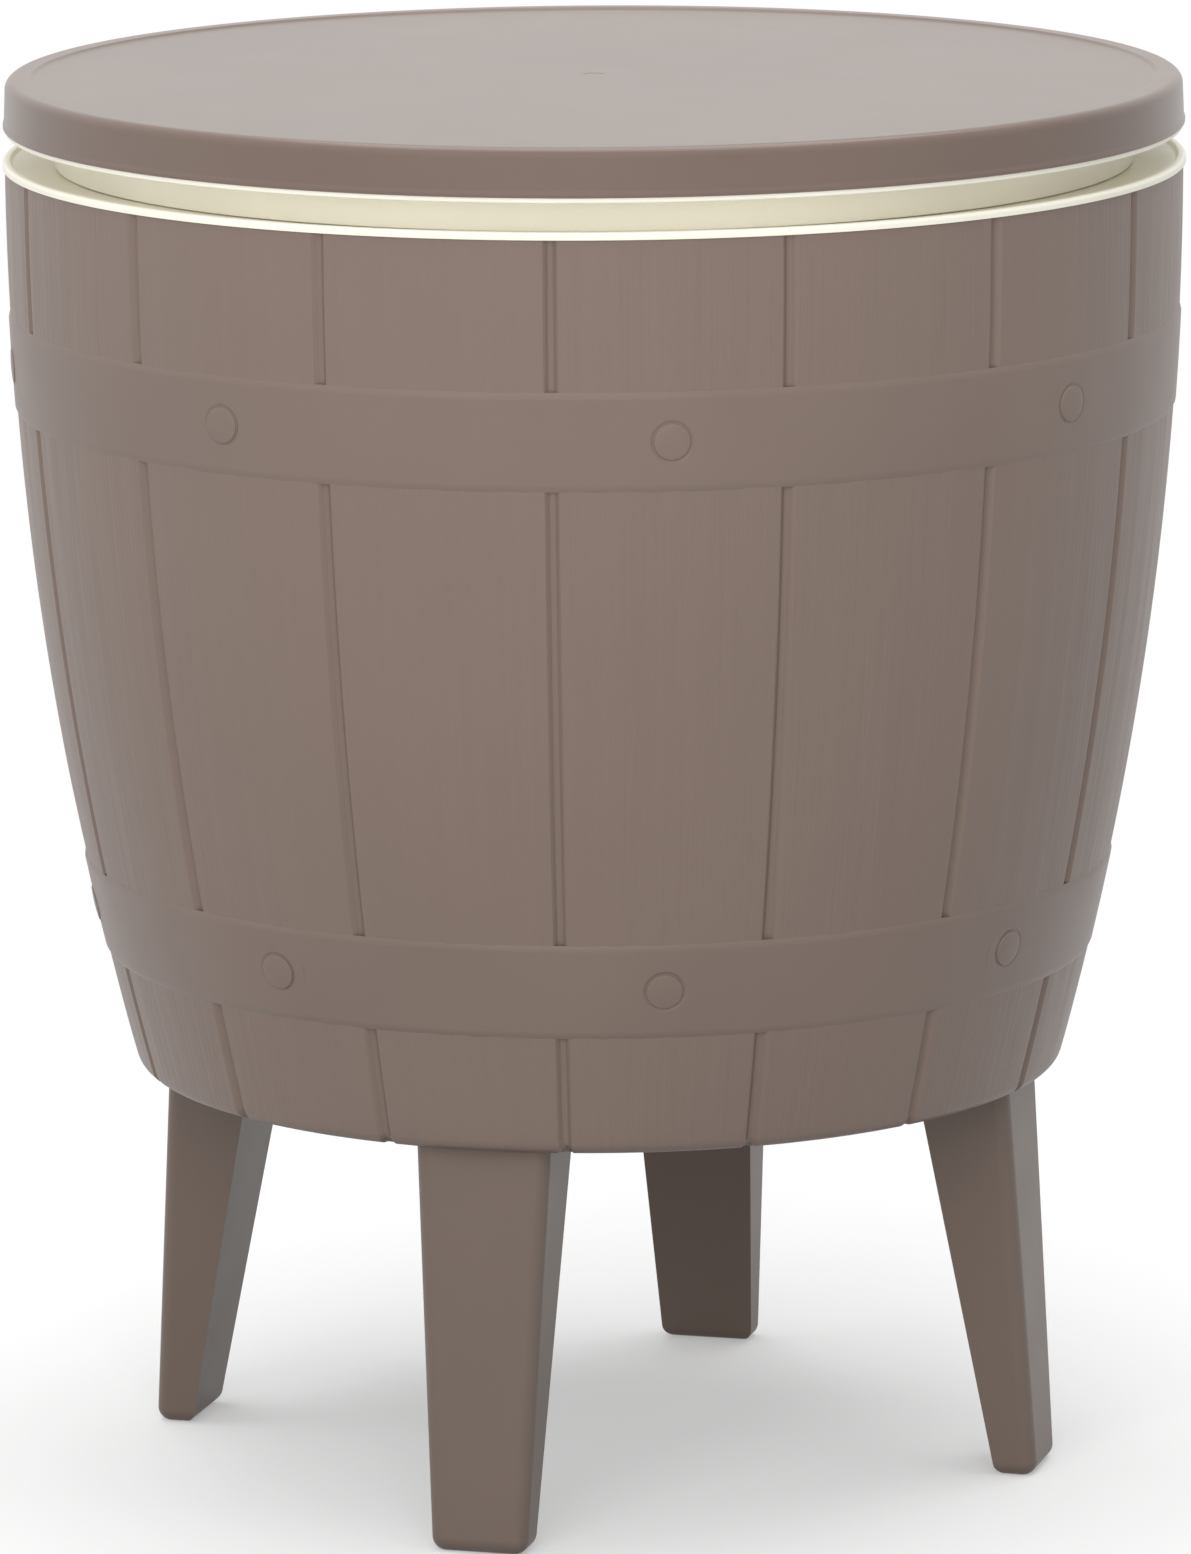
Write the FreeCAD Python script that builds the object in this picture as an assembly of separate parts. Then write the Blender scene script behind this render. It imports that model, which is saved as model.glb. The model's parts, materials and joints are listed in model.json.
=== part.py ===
import FreeCAD, Part
import math
import os

# Cooler table: a staved barrel on four splayed legs with a tub inside, and a round
# table top that lifts and turns on a telescopic column. Millimetres, +Z up, origin
# on the floor at the middle of the four feet, front leg toward -Y.

V = FreeCAD.Vector
ORIGIN = V(0, 0, 0)
UP = V(0, 0, 1)
DOWN = V(0, 0, -1)

# Same place, for picking edges by radius and height
tolerance = 1e-4
# How far a rib, boss or key is sunk into what it is moulded with
moulded_in = 1.0

# Barrel
leg_height = 170.0
barrel_height = 383.5
rim_radius = 246.8
bow_radius = 1460.0
shell_wall = 3.0
bottom_round = 7.0
inner_round = 4.0
floor_recess = 6.0
floor_thickness = 3.0
rim_land = 6.0

# Staves, hoops and rivet heads moulded on the barrel
stave_count = 16
groove_width = 5.8
groove_floor_width = 2.2
groove_depth = 1.4
groove_run_in = 1.5
upper_hoop_drop = 61.3
upper_hoop_width = 40.6
lower_hoop_drop = 291.6
lower_hoop_width = 40.4
hoop_proud = 0.8
hoop_bevel = 0.8
hoop_root = 2.2
rivets_per_hoop = 8
rivet_radius = 7.5
rivet_proud = 0.8
rivet_crown = 0.35
rivet_round = 0.3
rivet_root = 1.2
rivet_groove_width = 0.9
rivet_groove_depth = 0.35

# Ribs under the barrel's floor
rib_count = 8
rib_thickness = 2.5
rib_rise = 1.0
hub_rib_radius = 38.0

# Legs
leg_count = 4
leg_inset = 5.7
leg_top_depth = 38.9
leg_top_width = 57.0
leg_foot_depth = 17.2
leg_foot_width = 40.5
leg_splay = 10.8
leg_edge_round = 6.0
leg_wall = 3.0
leg_toe_height = 28.0
tongue_inset = 5.0
tongue_side_inset = 6.0
tongue_height = 36.0
tongue_taper = 0.6
socket_fit = 0.3
socket_wall = 3.0
pad_margin = 1.6
ear_length = 21.0
ear_width = 24.0
ear_thickness = 5.0
ear_screw_inset = 10.0

# Tub
seat_land = 8.0
gutter_rise = 1.3
bead_height = 3.1
bead_overhang = 1.1
bead_width = 3.3
bead_slope = 1.0
rim_width = 26.8
throat_depth = 20.0
tub_depth = 316.0
tub_wall = 2.5
insulation_gap = 20.0
tub_corner = 18.0
lip_depth = 7.5
lip_fit = 0.3
mouth_round = 1.5
gutter_round = 0.8
bead_inner_round = 1.0
bead_round = 1.5

# Screws that tie the tub to the barrel's floor, and the bosses that take them
tie_count = 4
tie_circle_radius = 130.0
tie_boss_height = 14.0
tie_boss_radius = 7.0
pedestal_wall = 3.0
pedestal_cap = 8.0

# Table top
finger_gap = 16.7
skirt_height = 19.8
top_overhang = 0.7
skirt_draft = 0.7
skirt_lip = 1.2
skirt_lip_height = 1.4
top_round = 4.0
top_wall = 3.0
top_inner_round = 2.0
raised_rim_width = 10.0
raised_rim_height = 0.8
raised_rim_slope = 1.5
top_rib_count = 8
top_rib_depth = 10.0
top_rib_thickness = 2.0
top_rib_inner_radius = 66.0
top_rib_margin = 6.0

# Inner half of the lid
lid_wall = 2.5
lid_lip_height = 2.3
lid_lip_inset = 1.1
lid_lip_round = 0.8
lid_gap_round = 1.5
seat_width = 6.0
seat_gap = 0.3
plug_clearance = 3.0
plug_depth = 12.5
plug_round = 3.0
upstand_height = 5.5
upstand_fit = 0.3
seal_fit = 0.4
seal_height = 5.0
seal_drop = 4.0
seal_lip = 0.8
lid_screw_count = 8
lid_screw_inset = 9.5
lid_boss_radius = 5.0

# Pole under the table top
pole_radius = 25.0
pole_wall = 2.5
socket_pole_fit = 0.3
socket_hub_wall = 4.2
socket_hub_height = 35.0
socket_cap = 3.0
socket_flange_radius = 62.0
socket_flange_thickness = 4.0
socket_screw_circle = 48.0
hub_hole_fit = 0.5
pole_end_gap = 0.5
pin_radius = 2.5
pin_height = 19.0
socket_mouth_round = 0.8
socket_flange_round = 1.5
socket_hub_round = 1.0

# Foot of the pole: neck, collar with two lugs, spigot
foot_clearance = 2.5
washer_thickness = 2.0
washer_radius = 26.0
neck_radius = 20.0
neck_height = 14.0
lug_count = 2
lug_bearing = 90.0
lug_angle = 44.0
lug_height = 12.0
lug_reach = 3.5
collar_above_lugs = 2.0
spigot_length = 30.0
spigot_fit = 0.1
spigot_round = 2.0
neck_round = 0.5
tooth_angle = 8.0
tooth_height = 3.0
tooth_reach = 3.8
turn_angle = 60.0

# Guide bush that slides in the sleeve and doesn't turn
bush_end_gap = 0.2
bush_neck_gap = 0.2
bush_bore_gap = 0.3
key_count = 2
key_width = 4.6
key_height = 1.5
key_gap = 0.2
key_depth_gap = 0.3
track_gap_angle = 0.6

# Column sleeve, lock ring and cap
bore_radius = 29.0
sleeve_wall = 4.0
sleeve_flange_radius = 52.0
sleeve_flange_thickness = 4.0
sleeve_screw_count = 4
sleeve_screw_circle = 43.0
sleeve_boss_radius = 6.0
sleeve_boss_height = 13.0
gusset_height = 22.0
gusset_thickness = 3.0
gusset_reach = 13.0
gusset_toe = 1.0
sleeve_flange_round = 1.0
counterbore_step = 2.0
ring_thickness = 6.0
ring_pole_gap = 0.6
ring_fit = 0.1
notch_angle = 50.0
notch_gap = 0.2
peg_height = 2.2
peg_gap = 0.8
lug_drop = 1.0
stop_gap = 0.5
cap_plate = 3.0
cap_pole_gap = 0.4
cap_skirt_height = 22.0
cap_skirt_wall = 3.4
cap_thread_gap = 0.1
cap_spacer_gap = 0.2
cap_flute_count = 24
cap_flute_radius = 1.2
cap_bore_round = 0.8
cap_edge_round = 1.5
column_clearance = 2.5

# Drain through the tub's floor and the barrel's floor
drain_circle_radius = 85.0
drain_bore_radius = 8.0
drain_tube_wall = 3.0
drain_flange_radius = 17.0
drain_flange_thickness = 2.5
drain_hole_gap = 0.2
drain_nut_radius = 18.0
drain_nut_height = 8.0
drain_nut_sides = 6
drain_end_rise = 2.0
drain_flange_round = 1.0
drain_mouth_round = 1.5
plug_seal_thickness = 1.0
plug_shank_gap = 0.1
plug_shank_length = 14.0
plug_head_radius = 13.0
plug_head_height = 5.0
plug_grip_height = 6.0
plug_grip_width = 5.0
plug_grip_round = 2.2
plug_head_round = 1.0
plug_tip_round = 1.5
plug_seal_overlap = 1.0

# Pan head screws: head radius, head height, thread radius
screw_head_radius = 4.5
screw_head_height = 2.6
screw_thread_radius = 2.0
screw_hole_gap = 0.4
thread_gap = 0.05
screw_end_gap = 1.0
leg_screw_depth = 17.0
foot_screw_depth = 20.0
foot_screw_head_height = 3.0

# Heights and radii that follow from the sizes above
floor_z = leg_height
rim_z = floor_z + barrel_height
barrel_floor_under = floor_z + floor_recess
barrel_floor_top = barrel_floor_under + floor_thickness
bead_z = rim_z + bead_height
mouth_radius = rim_radius - rim_width
tub_floor_z = rim_z - tub_depth
tub_under_z = tub_floor_z - tub_wall
skirt_z = rim_z + finger_gap
top_z = skirt_z + skirt_height
seat_z = rim_z + seat_gap
plug_z = seat_z - plug_depth
plug_radius = mouth_radius - plug_clearance
lid_wall_radius = mouth_radius + seat_width
lip_radius = rim_radius + top_overhang
top_under_z = top_z - raised_rim_height - top_wall
socket_flange_z = plug_z - socket_flange_thickness
socket_hub_radius = pole_radius + socket_hub_wall
sleeve_top_z = socket_flange_z - column_clearance - cap_plate
sleeve_radius = bore_radius + sleeve_wall
counterbore_radius = bore_radius + counterbore_step
lug_radius = pole_radius + lug_reach
collar_under_lugs = ring_thickness + lug_drop + peg_height + peg_gap
washer_z = tub_floor_z + foot_clearance + foot_screw_head_height
neck_z = washer_z + washer_thickness
collar_z = neck_z + neck_height
lug_z = collar_z + collar_under_lugs
lug_top_z = lug_z + lug_height
tube_z = lug_top_z + collar_above_lugs
pole_top_z = socket_flange_z + socket_hub_height - pole_end_gap
lift_travel = sleeve_top_z - stop_gap - lug_top_z
ring_top_z = lug_z + lift_travel - lug_drop
ring_under_z = ring_top_z - ring_thickness
key_track_radius = bore_radius + key_height
drain_end_z = floor_z + drain_end_rise
drain_tube_radius = drain_bore_radius + drain_tube_wall
pin_z = socket_flange_z + pin_height

# Angle of what stands between two legs
diagonal = 180.0 / leg_count


# Radii of the barrel at a height


def stave_radius(z, inset=0.0):
    """Outer radius of the staves at height z, less an inset: an arc, upright at the rim."""
    return rim_radius - inset - bow_radius + math.sqrt(bow_radius ** 2 - (rim_z - z) ** 2)


def stave_tilt(z):
    """How far the staves lean from the upright at height z, in radians."""
    return math.asin((rim_z - z) / bow_radius)


bow_centre = V(rim_radius - bow_radius, 0, rim_z)
bottom_round_drop = rim_z - floor_z - bottom_round
bottom_round_reach = math.sqrt((bow_radius - bottom_round) ** 2 - bottom_round_drop ** 2)
bottom_flat_radius = bow_centre.x + bottom_round_reach
tub_floor_radius = stave_radius(tub_floor_z) - shell_wall - insulation_gap - tub_wall
leg_outer_radius = bottom_flat_radius - leg_inset
leg_inner_radius = leg_outer_radius - leg_top_depth
ear_screw_radius = leg_inner_radius - ear_screw_inset
tongue_depth = leg_top_depth - 2 * tongue_inset
tongue_width = leg_top_width - 2 * tongue_side_inset
tongue_centre = leg_inner_radius + leg_top_depth / 2


# Shared shapes


def rounded_corner(before, here, after, radius):
    """Start, middle and end of the arc that rounds one corner of an outline."""
    back = (before - here).normalize()
    ahead = (after - here).normalize()
    half = back.getAngle(ahead) / 2
    reach = radius / math.tan(half)
    inward = (back + ahead).normalize()
    centre = here + inward * (radius / math.sin(half))
    return here + back * reach, centre - inward * radius, here + ahead * reach


def outline(points):
    """Closed outline in the XZ plane through points (r, z) or (r, z, corner radius)."""
    spots = [V(point[0], 0, point[1]) for point in points]
    corners = []
    for i, point in enumerate(points):
        if len(point) == 3:
            after = spots[(i + 1) % len(spots)]
            corners.append(rounded_corner(spots[i - 1], spots[i], after, point[2]))
        else:
            corners.append((spots[i], None, spots[i]))
    edges = []
    for i, (start, middle, end) in enumerate(corners):
        if middle:
            edges.append(Part.Arc(start, middle, end).toShape())
        edges.append(Part.makeLine(end, corners[(i + 1) % len(corners)][0]))
    return Part.Wire(edges)


def turned(points):
    """Solid turned about the Z axis from a half section."""
    return Part.Face(outline(points)).revolve(ORIGIN, UP, 360)


def ring(inner, outer, low, high):
    """Plain ring or tube about the Z axis."""
    return turned([(inner, low), (outer, low), (outer, high), (inner, high)])


def disc(radius, low, high, x=0.0, y=0.0):
    """Upright cylinder between two heights."""
    return Part.makeCylinder(radius, high - low, V(x, y, low), UP)


def ring_piece(inner, outer, low, high, middle, width):
    """Piece of a ring, width degrees wide round the angle middle."""
    section = Part.Face(outline([(inner, low), (outer, low), (outer, high), (inner, high)]))
    section.rotate(ORIGIN, UP, middle - width / 2)
    return section.revolve(ORIGIN, UP, width)


def radial_box(inner, outer, width, low, high):
    """Box that reaches outward along +X, centred on it."""
    return Part.makeBox(outer - inner, width, high - low, V(inner, -width / 2, low))


def turned_to(shape, angle):
    """Copy of a shape turned about the Z axis."""
    copy = shape.copy()
    copy.rotate(ORIGIN, UP, angle)
    return copy


def copies_around(shape, count, start=0.0):
    """Copies of a shape, evenly spaced about the Z axis."""
    return [turned_to(shape, start + 360.0 * i / count) for i in range(count)]


def circle_edges(solid, radius, z):
    """The circular edges of a solid that have this radius and height."""
    found = []
    for edge in solid.Edges:
        if not edge.Degenerated and isinstance(edge.Curve, Part.Circle):
            same_radius = abs(edge.Curve.Radius - radius) < tolerance
            if same_radius and abs(edge.Curve.Center.z - z) < tolerance:
                found.append(edge)
    return found


def pan_screw(seat, depth, direction, x=0.0, y=0.0, head_height=screw_head_height):
    """Pan head screw: the head lies on its seat, the thread goes depth along direction."""
    away = direction * -1
    head = Part.makeCylinder(screw_head_radius, head_height, V(x, y, seat), away)
    rim = circle_edges(head, screw_head_radius, seat + away.z * head_height)
    head = head.makeFillet(head_height / 2, rim)
    thread_radius = screw_thread_radius - thread_gap
    thread = Part.makeCylinder(thread_radius, depth, V(x, y, seat), direction)
    return head.fuse(thread)


def save(name, solids):
    """Write one node: one solid, or a group of separate solids."""
    shape = solids[0] if len(solids) == 1 else Part.makeCompound(solids)
    shape.exportStep("parts/" + name + ".step")
    print(name, len(shape.Solids), "solids", round(shape.Volume / 1000, 2), "cm3")


# Barrel shell


def bowed_edge(z_start, z_end, inset):
    """Arc along the staves between two heights."""
    spots = [V(stave_radius(z, inset), 0, z) for z in (z_start, (z_start + z_end) / 2, z_end)]
    return Part.Arc(*spots).toShape()


def barrel_form(inset, low_z, corner):
    """Solid barrel inside the staves by inset, with its lower edge rounded."""
    low_radius = stave_radius(low_z, inset)
    side = bowed_edge(low_z, rim_z, inset)
    low = Part.makeLine(V(0, 0, low_z), V(low_radius, 0, low_z))
    high = Part.makeLine(V(stave_radius(rim_z, inset), 0, rim_z), V(0, 0, rim_z))
    axis = Part.makeLine(V(0, 0, rim_z), V(0, 0, low_z))
    solid = Part.Face(Part.Wire([low, side, high, axis])).revolve(ORIGIN, UP, 360)
    return solid.makeFillet(corner, circle_edges(solid, low_radius, low_z))


def stave_line():
    """Path down one stave: above the rim, along the bow, round the bottom, under it."""
    round_centre = V(bottom_flat_radius, 0, floor_z + bottom_round)
    outward = (round_centre - bow_centre).normalize()
    bow_end = bow_centre + outward * bow_radius
    between = (outward + DOWN).normalize()
    rim = V(rim_radius, 0, rim_z)
    flat = V(bottom_flat_radius, 0, floor_z)
    middle_z = (rim_z + bow_end.z) / 2
    bow = Part.Arc(rim, V(stave_radius(middle_z), 0, middle_z), bow_end)
    bend = Part.Arc(bow_end, round_centre + between * bottom_round, flat)
    above = Part.makeLine(rim + UP * groove_run_in, rim)
    under = Part.makeLine(flat, flat - V(groove_run_in, 0, 0))
    return Part.Wire([above, bow.toShape(), bend.toShape(), under])


def groove_cutters():
    """One cutter for each joint between two staves: a channel with sloping walls."""
    slope = (groove_width - groove_floor_width) / 2 / groove_depth
    top_half = groove_width / 2 + slope * hoop_proud
    floor_half = groove_floor_width / 2
    floor_r = rim_radius - groove_depth
    top_r = rim_radius + hoop_proud
    z = rim_z + groove_run_in
    corners = [V(floor_r, -floor_half, z), V(top_r, -top_half, z)]
    corners += [V(top_r, top_half, z), V(floor_r, floor_half, z)]
    section = Part.makePolygon(corners + corners[:1])
    channel = stave_line().makePipeShell([section], True, False)
    return copies_around(channel, stave_count, 180.0 / stave_count)


def hoop(drop, width):
    """Flat band round the staves, bevelled at both edges."""
    top = rim_z - drop
    bottom = top - width
    spots = [(stave_radius(top, hoop_root), top), (stave_radius(top), top)]
    spots.append((stave_radius(top - hoop_bevel, -hoop_proud), top - hoop_bevel))
    face_end = (stave_radius(bottom + hoop_bevel, -hoop_proud), bottom + hoop_bevel)
    lower = [face_end, (stave_radius(bottom), bottom), (stave_radius(bottom, hoop_root), bottom)]
    chain = [V(r, 0, z) for r, z in spots]
    tail = [V(r, 0, z) for r, z in lower]
    edges = [Part.makeLine(a, b) for a, b in zip(chain, chain[1:])]
    edges.append(bowed_edge(top - hoop_bevel, bottom + hoop_bevel, -hoop_proud))
    edges += [Part.makeLine(a, b) for a, b in zip(tail, tail[1:])]
    edges.append(bowed_edge(bottom, top, hoop_root))
    return Part.Face(Part.Wire(edges)).revolve(ORIGIN, UP, 360)


def on_hoop(shape, drop, width):
    """Copies of a shape, moved from the origin to every second stave of one hoop."""
    z = rim_z - drop - width / 2
    tilt = stave_tilt(z)
    outward = V(math.cos(tilt), 0, -math.sin(tilt))
    seat = V(stave_radius(z, -hoop_proud), 0, z)
    first = shape.copy()
    first.Placement = FreeCAD.Placement(seat, FreeCAD.Rotation(UP, outward))
    return copies_around(first, rivets_per_hoop, 180.0 / rivets_per_hoop)


def rivet_head():
    """Low domed head with a rounded edge, at the origin."""
    dome_radius = (rivet_radius ** 2 + rivet_crown ** 2) / (2 * rivet_crown)
    dome = Part.makeSphere(dome_radius, V(0, 0, rivet_proud - dome_radius))
    head = disc(rivet_radius, -rivet_root, rivet_proud).common(dome)
    edge_z = rivet_proud - rivet_crown
    return head.makeFillet(rivet_round, circle_edges(head, rivet_radius, edge_z))


def rivet_groove():
    """Fine ring sunk into the hoop round each rivet head, at the origin."""
    outer = rivet_radius + rivet_groove_width
    return ring(rivet_radius, outer, -rivet_groove_depth, rivet_proud)


def leg_pads():
    """Thick pads under the floor, which the legs' shoulders and ears lie against."""
    width = leg_top_width + 2 * pad_margin
    inner = leg_inner_radius - ear_length - pad_margin
    outer = leg_outer_radius + pad_margin
    pad = radial_box(inner, outer, width, floor_z, barrel_floor_top)
    return copies_around(pad, leg_count)


def leg_sockets():
    """Closed boxes above the floor that take the legs' tongues."""
    extra = socket_fit + socket_wall
    inner = tongue_centre - tongue_depth / 2 - extra
    outer = tongue_centre + tongue_depth / 2 + extra
    top = floor_z + tongue_height + extra
    box = radial_box(inner, outer, tongue_width + 2 * extra, barrel_floor_under, top)
    return copies_around(box, leg_count)


def socket_cavities():
    """The room inside each socket, one fit wider than the tongue."""
    inner = tongue_centre - tongue_depth / 2 - socket_fit
    outer = tongue_centre + tongue_depth / 2 + socket_fit
    width = tongue_width + 2 * socket_fit
    box = radial_box(inner, outer, width, floor_z, floor_z + tongue_height + socket_fit)
    return copies_around(box, leg_count)


def leg_screw_bosses():
    """Posts on the floor above the legs' screws."""
    top = floor_z + leg_screw_depth + screw_end_gap + shell_wall
    post = disc(screw_thread_radius + shell_wall, barrel_floor_under, top, ear_screw_radius)
    return copies_around(post, leg_count)


def leg_screw_holes():
    """Blind holes for the legs' screws."""
    top = floor_z + leg_screw_depth + screw_end_gap
    hole = disc(screw_thread_radius, floor_z, top, ear_screw_radius)
    return copies_around(hole, leg_count)


def tie_pedestals():
    """Hollow posts that the tub's bosses stand on, one for each tie screw."""
    radius = screw_head_radius + screw_hole_gap + pedestal_wall
    top = tub_under_z - tie_boss_height
    post = disc(radius, barrel_floor_under, top, tie_circle_radius)
    return copies_around(post, tie_count, diagonal)


def tie_holes():
    """The wide room for each tie screw's head, and the hole above it."""
    top = tub_under_z - tie_boss_height
    seat = top - pedestal_cap
    head_room = screw_head_radius + screw_hole_gap
    room = disc(head_room, floor_z, seat, tie_circle_radius)
    hole = disc(screw_thread_radius + screw_hole_gap, seat, top, tie_circle_radius)
    return copies_around(room.fuse(hole), tie_count, diagonal)


def floor_ribs():
    """Ribs under the floor: one round hub and straight ribs out to the rim."""
    low = floor_z + rib_rise
    outer = bottom_flat_radius - rim_land + rib_thickness
    hub = ring(hub_rib_radius, hub_rib_radius + rib_thickness, low, barrel_floor_top)
    spoke = radial_box(hub_rib_radius, outer, rib_thickness, low, barrel_floor_top)
    spokes = copies_around(spoke, rib_count, 180.0 / rib_count)
    return [hub] + spokes


def barrel_shell():
    """The barrel: staves, hoops, rivet heads, floor, sockets, posts and ribs."""
    shell = barrel_form(0, floor_z, bottom_round)
    shell = shell.cut(barrel_form(shell_wall, barrel_floor_top, inner_round))
    recess_radius = bottom_flat_radius - rim_land
    shell = shell.cut(disc(recess_radius, floor_z, barrel_floor_under))
    shell = shell.cut(groove_cutters())
    upper = (upper_hoop_drop, upper_hoop_width)
    lower = (lower_hoop_drop, lower_hoop_width)
    hoops = hoop(*upper).fuse(hoop(*lower))
    groove = rivet_groove()
    hoops = hoops.cut(on_hoop(groove, *upper) + on_hoop(groove, *lower))
    head = rivet_head()
    added = [hoops] + on_hoop(head, *upper) + on_hoop(head, *lower)
    added += leg_pads() + leg_sockets() + leg_screw_bosses()
    added += tie_pedestals() + floor_ribs()
    shell = shell.fuse(added)
    drain = disc(drain_tube_radius + drain_hole_gap, floor_z, barrel_floor_top,
                 0, drain_circle_radius)
    holes = socket_cavities() + leg_screw_holes() + tie_holes() + [drain]
    return shell.cut(holes).removeSplitter()


# Legs


def tapered_box(inner, outer, width, low, inner_high, outer_high, width_high, high):
    """Box with a rectangle at each end; inner and outer are radii along +X."""
    wires = []
    for z, a, b, w in ((low, inner, outer, width), (high, inner_high, outer_high, width_high)):
        corners = [V(a, -w / 2, z), V(b, -w / 2, z), V(b, w / 2, z), V(a, w / 2, z)]
        wires.append(Part.makePolygon(corners + corners[:1]))
    return Part.makeLoft(wires, True, True)


def leg_form(inset, low, high):
    """The leg's tapered body between two heights, smaller by inset on every side."""
    foot_outer = leg_outer_radius + leg_splay
    foot_inner = foot_outer - leg_foot_depth

    def at(z, foot, top):
        return foot + (top - foot) * z / leg_height

    ends = []
    for z in (low, high):
        inner = at(z, foot_inner, leg_inner_radius) + inset
        outer = at(z, foot_outer, leg_outer_radius) - inset
        width = at(z, leg_foot_width, leg_top_width) - 2 * inset
        ends.append((inner, outer, width))
    return tapered_box(*ends[0], low, *ends[1], high)


def leg_tongue(inset, low, high):
    """The tongue on top of the leg, slightly tapered, smaller by inset on every side."""
    half = tongue_depth / 2 - inset
    width = tongue_width - 2 * inset
    inner = tongue_centre - half
    outer = tongue_centre + half
    taper = tongue_taper
    return tapered_box(inner, outer, width, low,
                       inner + taper, outer - taper, width - 2 * taper, high)


def soft_leg_edges(body):
    """The edges round the foot of a leg and up its two outer corners."""
    found = []
    for edge in body.Edges:
        top = max((vertex.Point for vertex in edge.Vertexes), key=lambda spot: spot.z)
        outer_corner = edge.Length > leg_height / 2 and top.x > leg_inner_radius + tolerance
        if top.z < tolerance or outer_corner:
            found.append(edge)
    return found


def leg():
    """Hollow splayed leg along +X: body with crisp inner edges, tongue and screw ear."""
    body = leg_form(0, 0, leg_height)
    body = body.makeFillet(leg_edge_round, soft_leg_edges(body))
    top = leg_height + tongue_height
    ear_end = leg_inner_radius - ear_length
    tip_radius = ear_width / 2
    ear_low = leg_height - ear_thickness
    tip_x = ear_end + tip_radius
    ear = radial_box(tip_x, leg_inner_radius + leg_wall, ear_width, ear_low, leg_height)
    ear = ear.fuse(disc(tip_radius, ear_low, leg_height, tip_x))
    solid = body.fuse([leg_tongue(0, leg_height, top), ear])
    cavity = leg_form(leg_wall + leg_edge_round / 2, leg_toe_height, leg_height - leg_wall)
    throat = leg_tongue(leg_wall, leg_height - leg_wall, top)
    hole = disc(screw_thread_radius + screw_hole_gap, ear_low, leg_height, ear_screw_radius)
    return solid.cut([cavity, throat, hole])


def leg_screws():
    """One screw up through each leg's ear into the floor."""
    seat = leg_height - ear_thickness
    screw = pan_screw(seat, ear_thickness + leg_screw_depth, UP, ear_screw_radius)
    return copies_around(screw, leg_count)


# Tub


def cooler_liner():
    """The tub: bead over the barrel's edge, ring floor, mouth, tapered wall and floor."""
    lip_outer = rim_radius - shell_wall - lip_fit
    lip_inner = lip_outer - tub_wall
    gutter = rim_radius + bead_overhang - bead_width
    throat_z = rim_z - throat_depth
    section = [
        (0, tub_floor_z),
        (tub_floor_radius, tub_floor_z, tub_corner),
        (mouth_radius, throat_z),
        (mouth_radius, rim_z, mouth_round),
        (mouth_radius + seat_land, rim_z),
        (gutter - bead_slope, rim_z + gutter_rise, gutter_round),
        (gutter, bead_z, bead_inner_round),
        (rim_radius + bead_overhang, bead_z, bead_round),
        (rim_radius + bead_overhang, rim_z),
        (lip_outer, rim_z),
        (lip_outer, rim_z - lip_depth),
        (lip_inner, rim_z - lip_depth),
        (lip_inner, rim_z - tub_wall),
        (mouth_radius + tub_wall, rim_z - tub_wall),
        (mouth_radius + tub_wall, throat_z),
        (tub_floor_radius + tub_wall, tub_under_z, tub_corner + tub_wall),
        (0, tub_under_z)]
    tub = turned(section)
    tie_top = tub_under_z - screw_end_gap
    tie_boss = disc(tie_boss_radius, tub_under_z - tie_boss_height, tub_floor_z,
                    tie_circle_radius)
    tie_pilot = disc(screw_thread_radius, tub_under_z - tie_boss_height, tie_top,
                     tie_circle_radius)
    low = tub_under_z - sleeve_boss_height
    sleeve_boss = disc(sleeve_boss_radius, low, tub_floor_z, sleeve_screw_circle)
    sleeve_pilot = disc(screw_thread_radius, low + tub_wall, tub_floor_z, sleeve_screw_circle)
    bosses = copies_around(tie_boss, tie_count, diagonal)
    bosses += copies_around(sleeve_boss, sleeve_screw_count, diagonal)
    holes = copies_around(tie_pilot, tie_count, diagonal)
    holes += copies_around(sleeve_pilot, sleeve_screw_count, diagonal)
    holes.append(disc(drain_tube_radius + drain_hole_gap, tub_under_z, tub_floor_z,
                      0, drain_circle_radius))
    return tub.fuse(bosses).cut(holes)


def tie_screws():
    """Long screws that pull the tub down onto the barrel's edge."""
    seat = tub_under_z - tie_boss_height - pedestal_cap
    depth = pedestal_cap + tie_boss_height - 2 * screw_end_gap
    screw = pan_screw(seat, depth, UP, tie_circle_radius)
    return copies_around(screw, tie_count, diagonal)


# Drain


def drain_spout():
    """Flanged tube from the tub's floor down through the barrel's floor."""
    spout = turned([
        (drain_bore_radius, drain_end_z),
        (drain_tube_radius, drain_end_z),
        (drain_tube_radius, tub_floor_z),
        (drain_flange_radius, tub_floor_z),
        (drain_flange_radius, tub_floor_z + drain_flange_thickness, drain_flange_round),
        (drain_bore_radius, tub_floor_z + drain_flange_thickness, drain_mouth_round)])
    spout.translate(V(0, drain_circle_radius, 0))
    return spout


def drain_nut():
    """Six sided nut that clamps the spout under the tub."""
    first = Part.Vertex(drain_nut_radius, 0, tub_under_z - drain_nut_height)
    corners = [corner.Point for corner in copies_around(first, drain_nut_sides)]
    nut = Part.Face(Part.makePolygon(corners + corners[:1])).extrude(V(0, 0, drain_nut_height))
    bore = disc(drain_tube_radius + thread_gap, tub_under_z - drain_nut_height, tub_under_z)
    nut = nut.cut(bore)
    nut.translate(V(0, drain_circle_radius, 0))
    return nut


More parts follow.
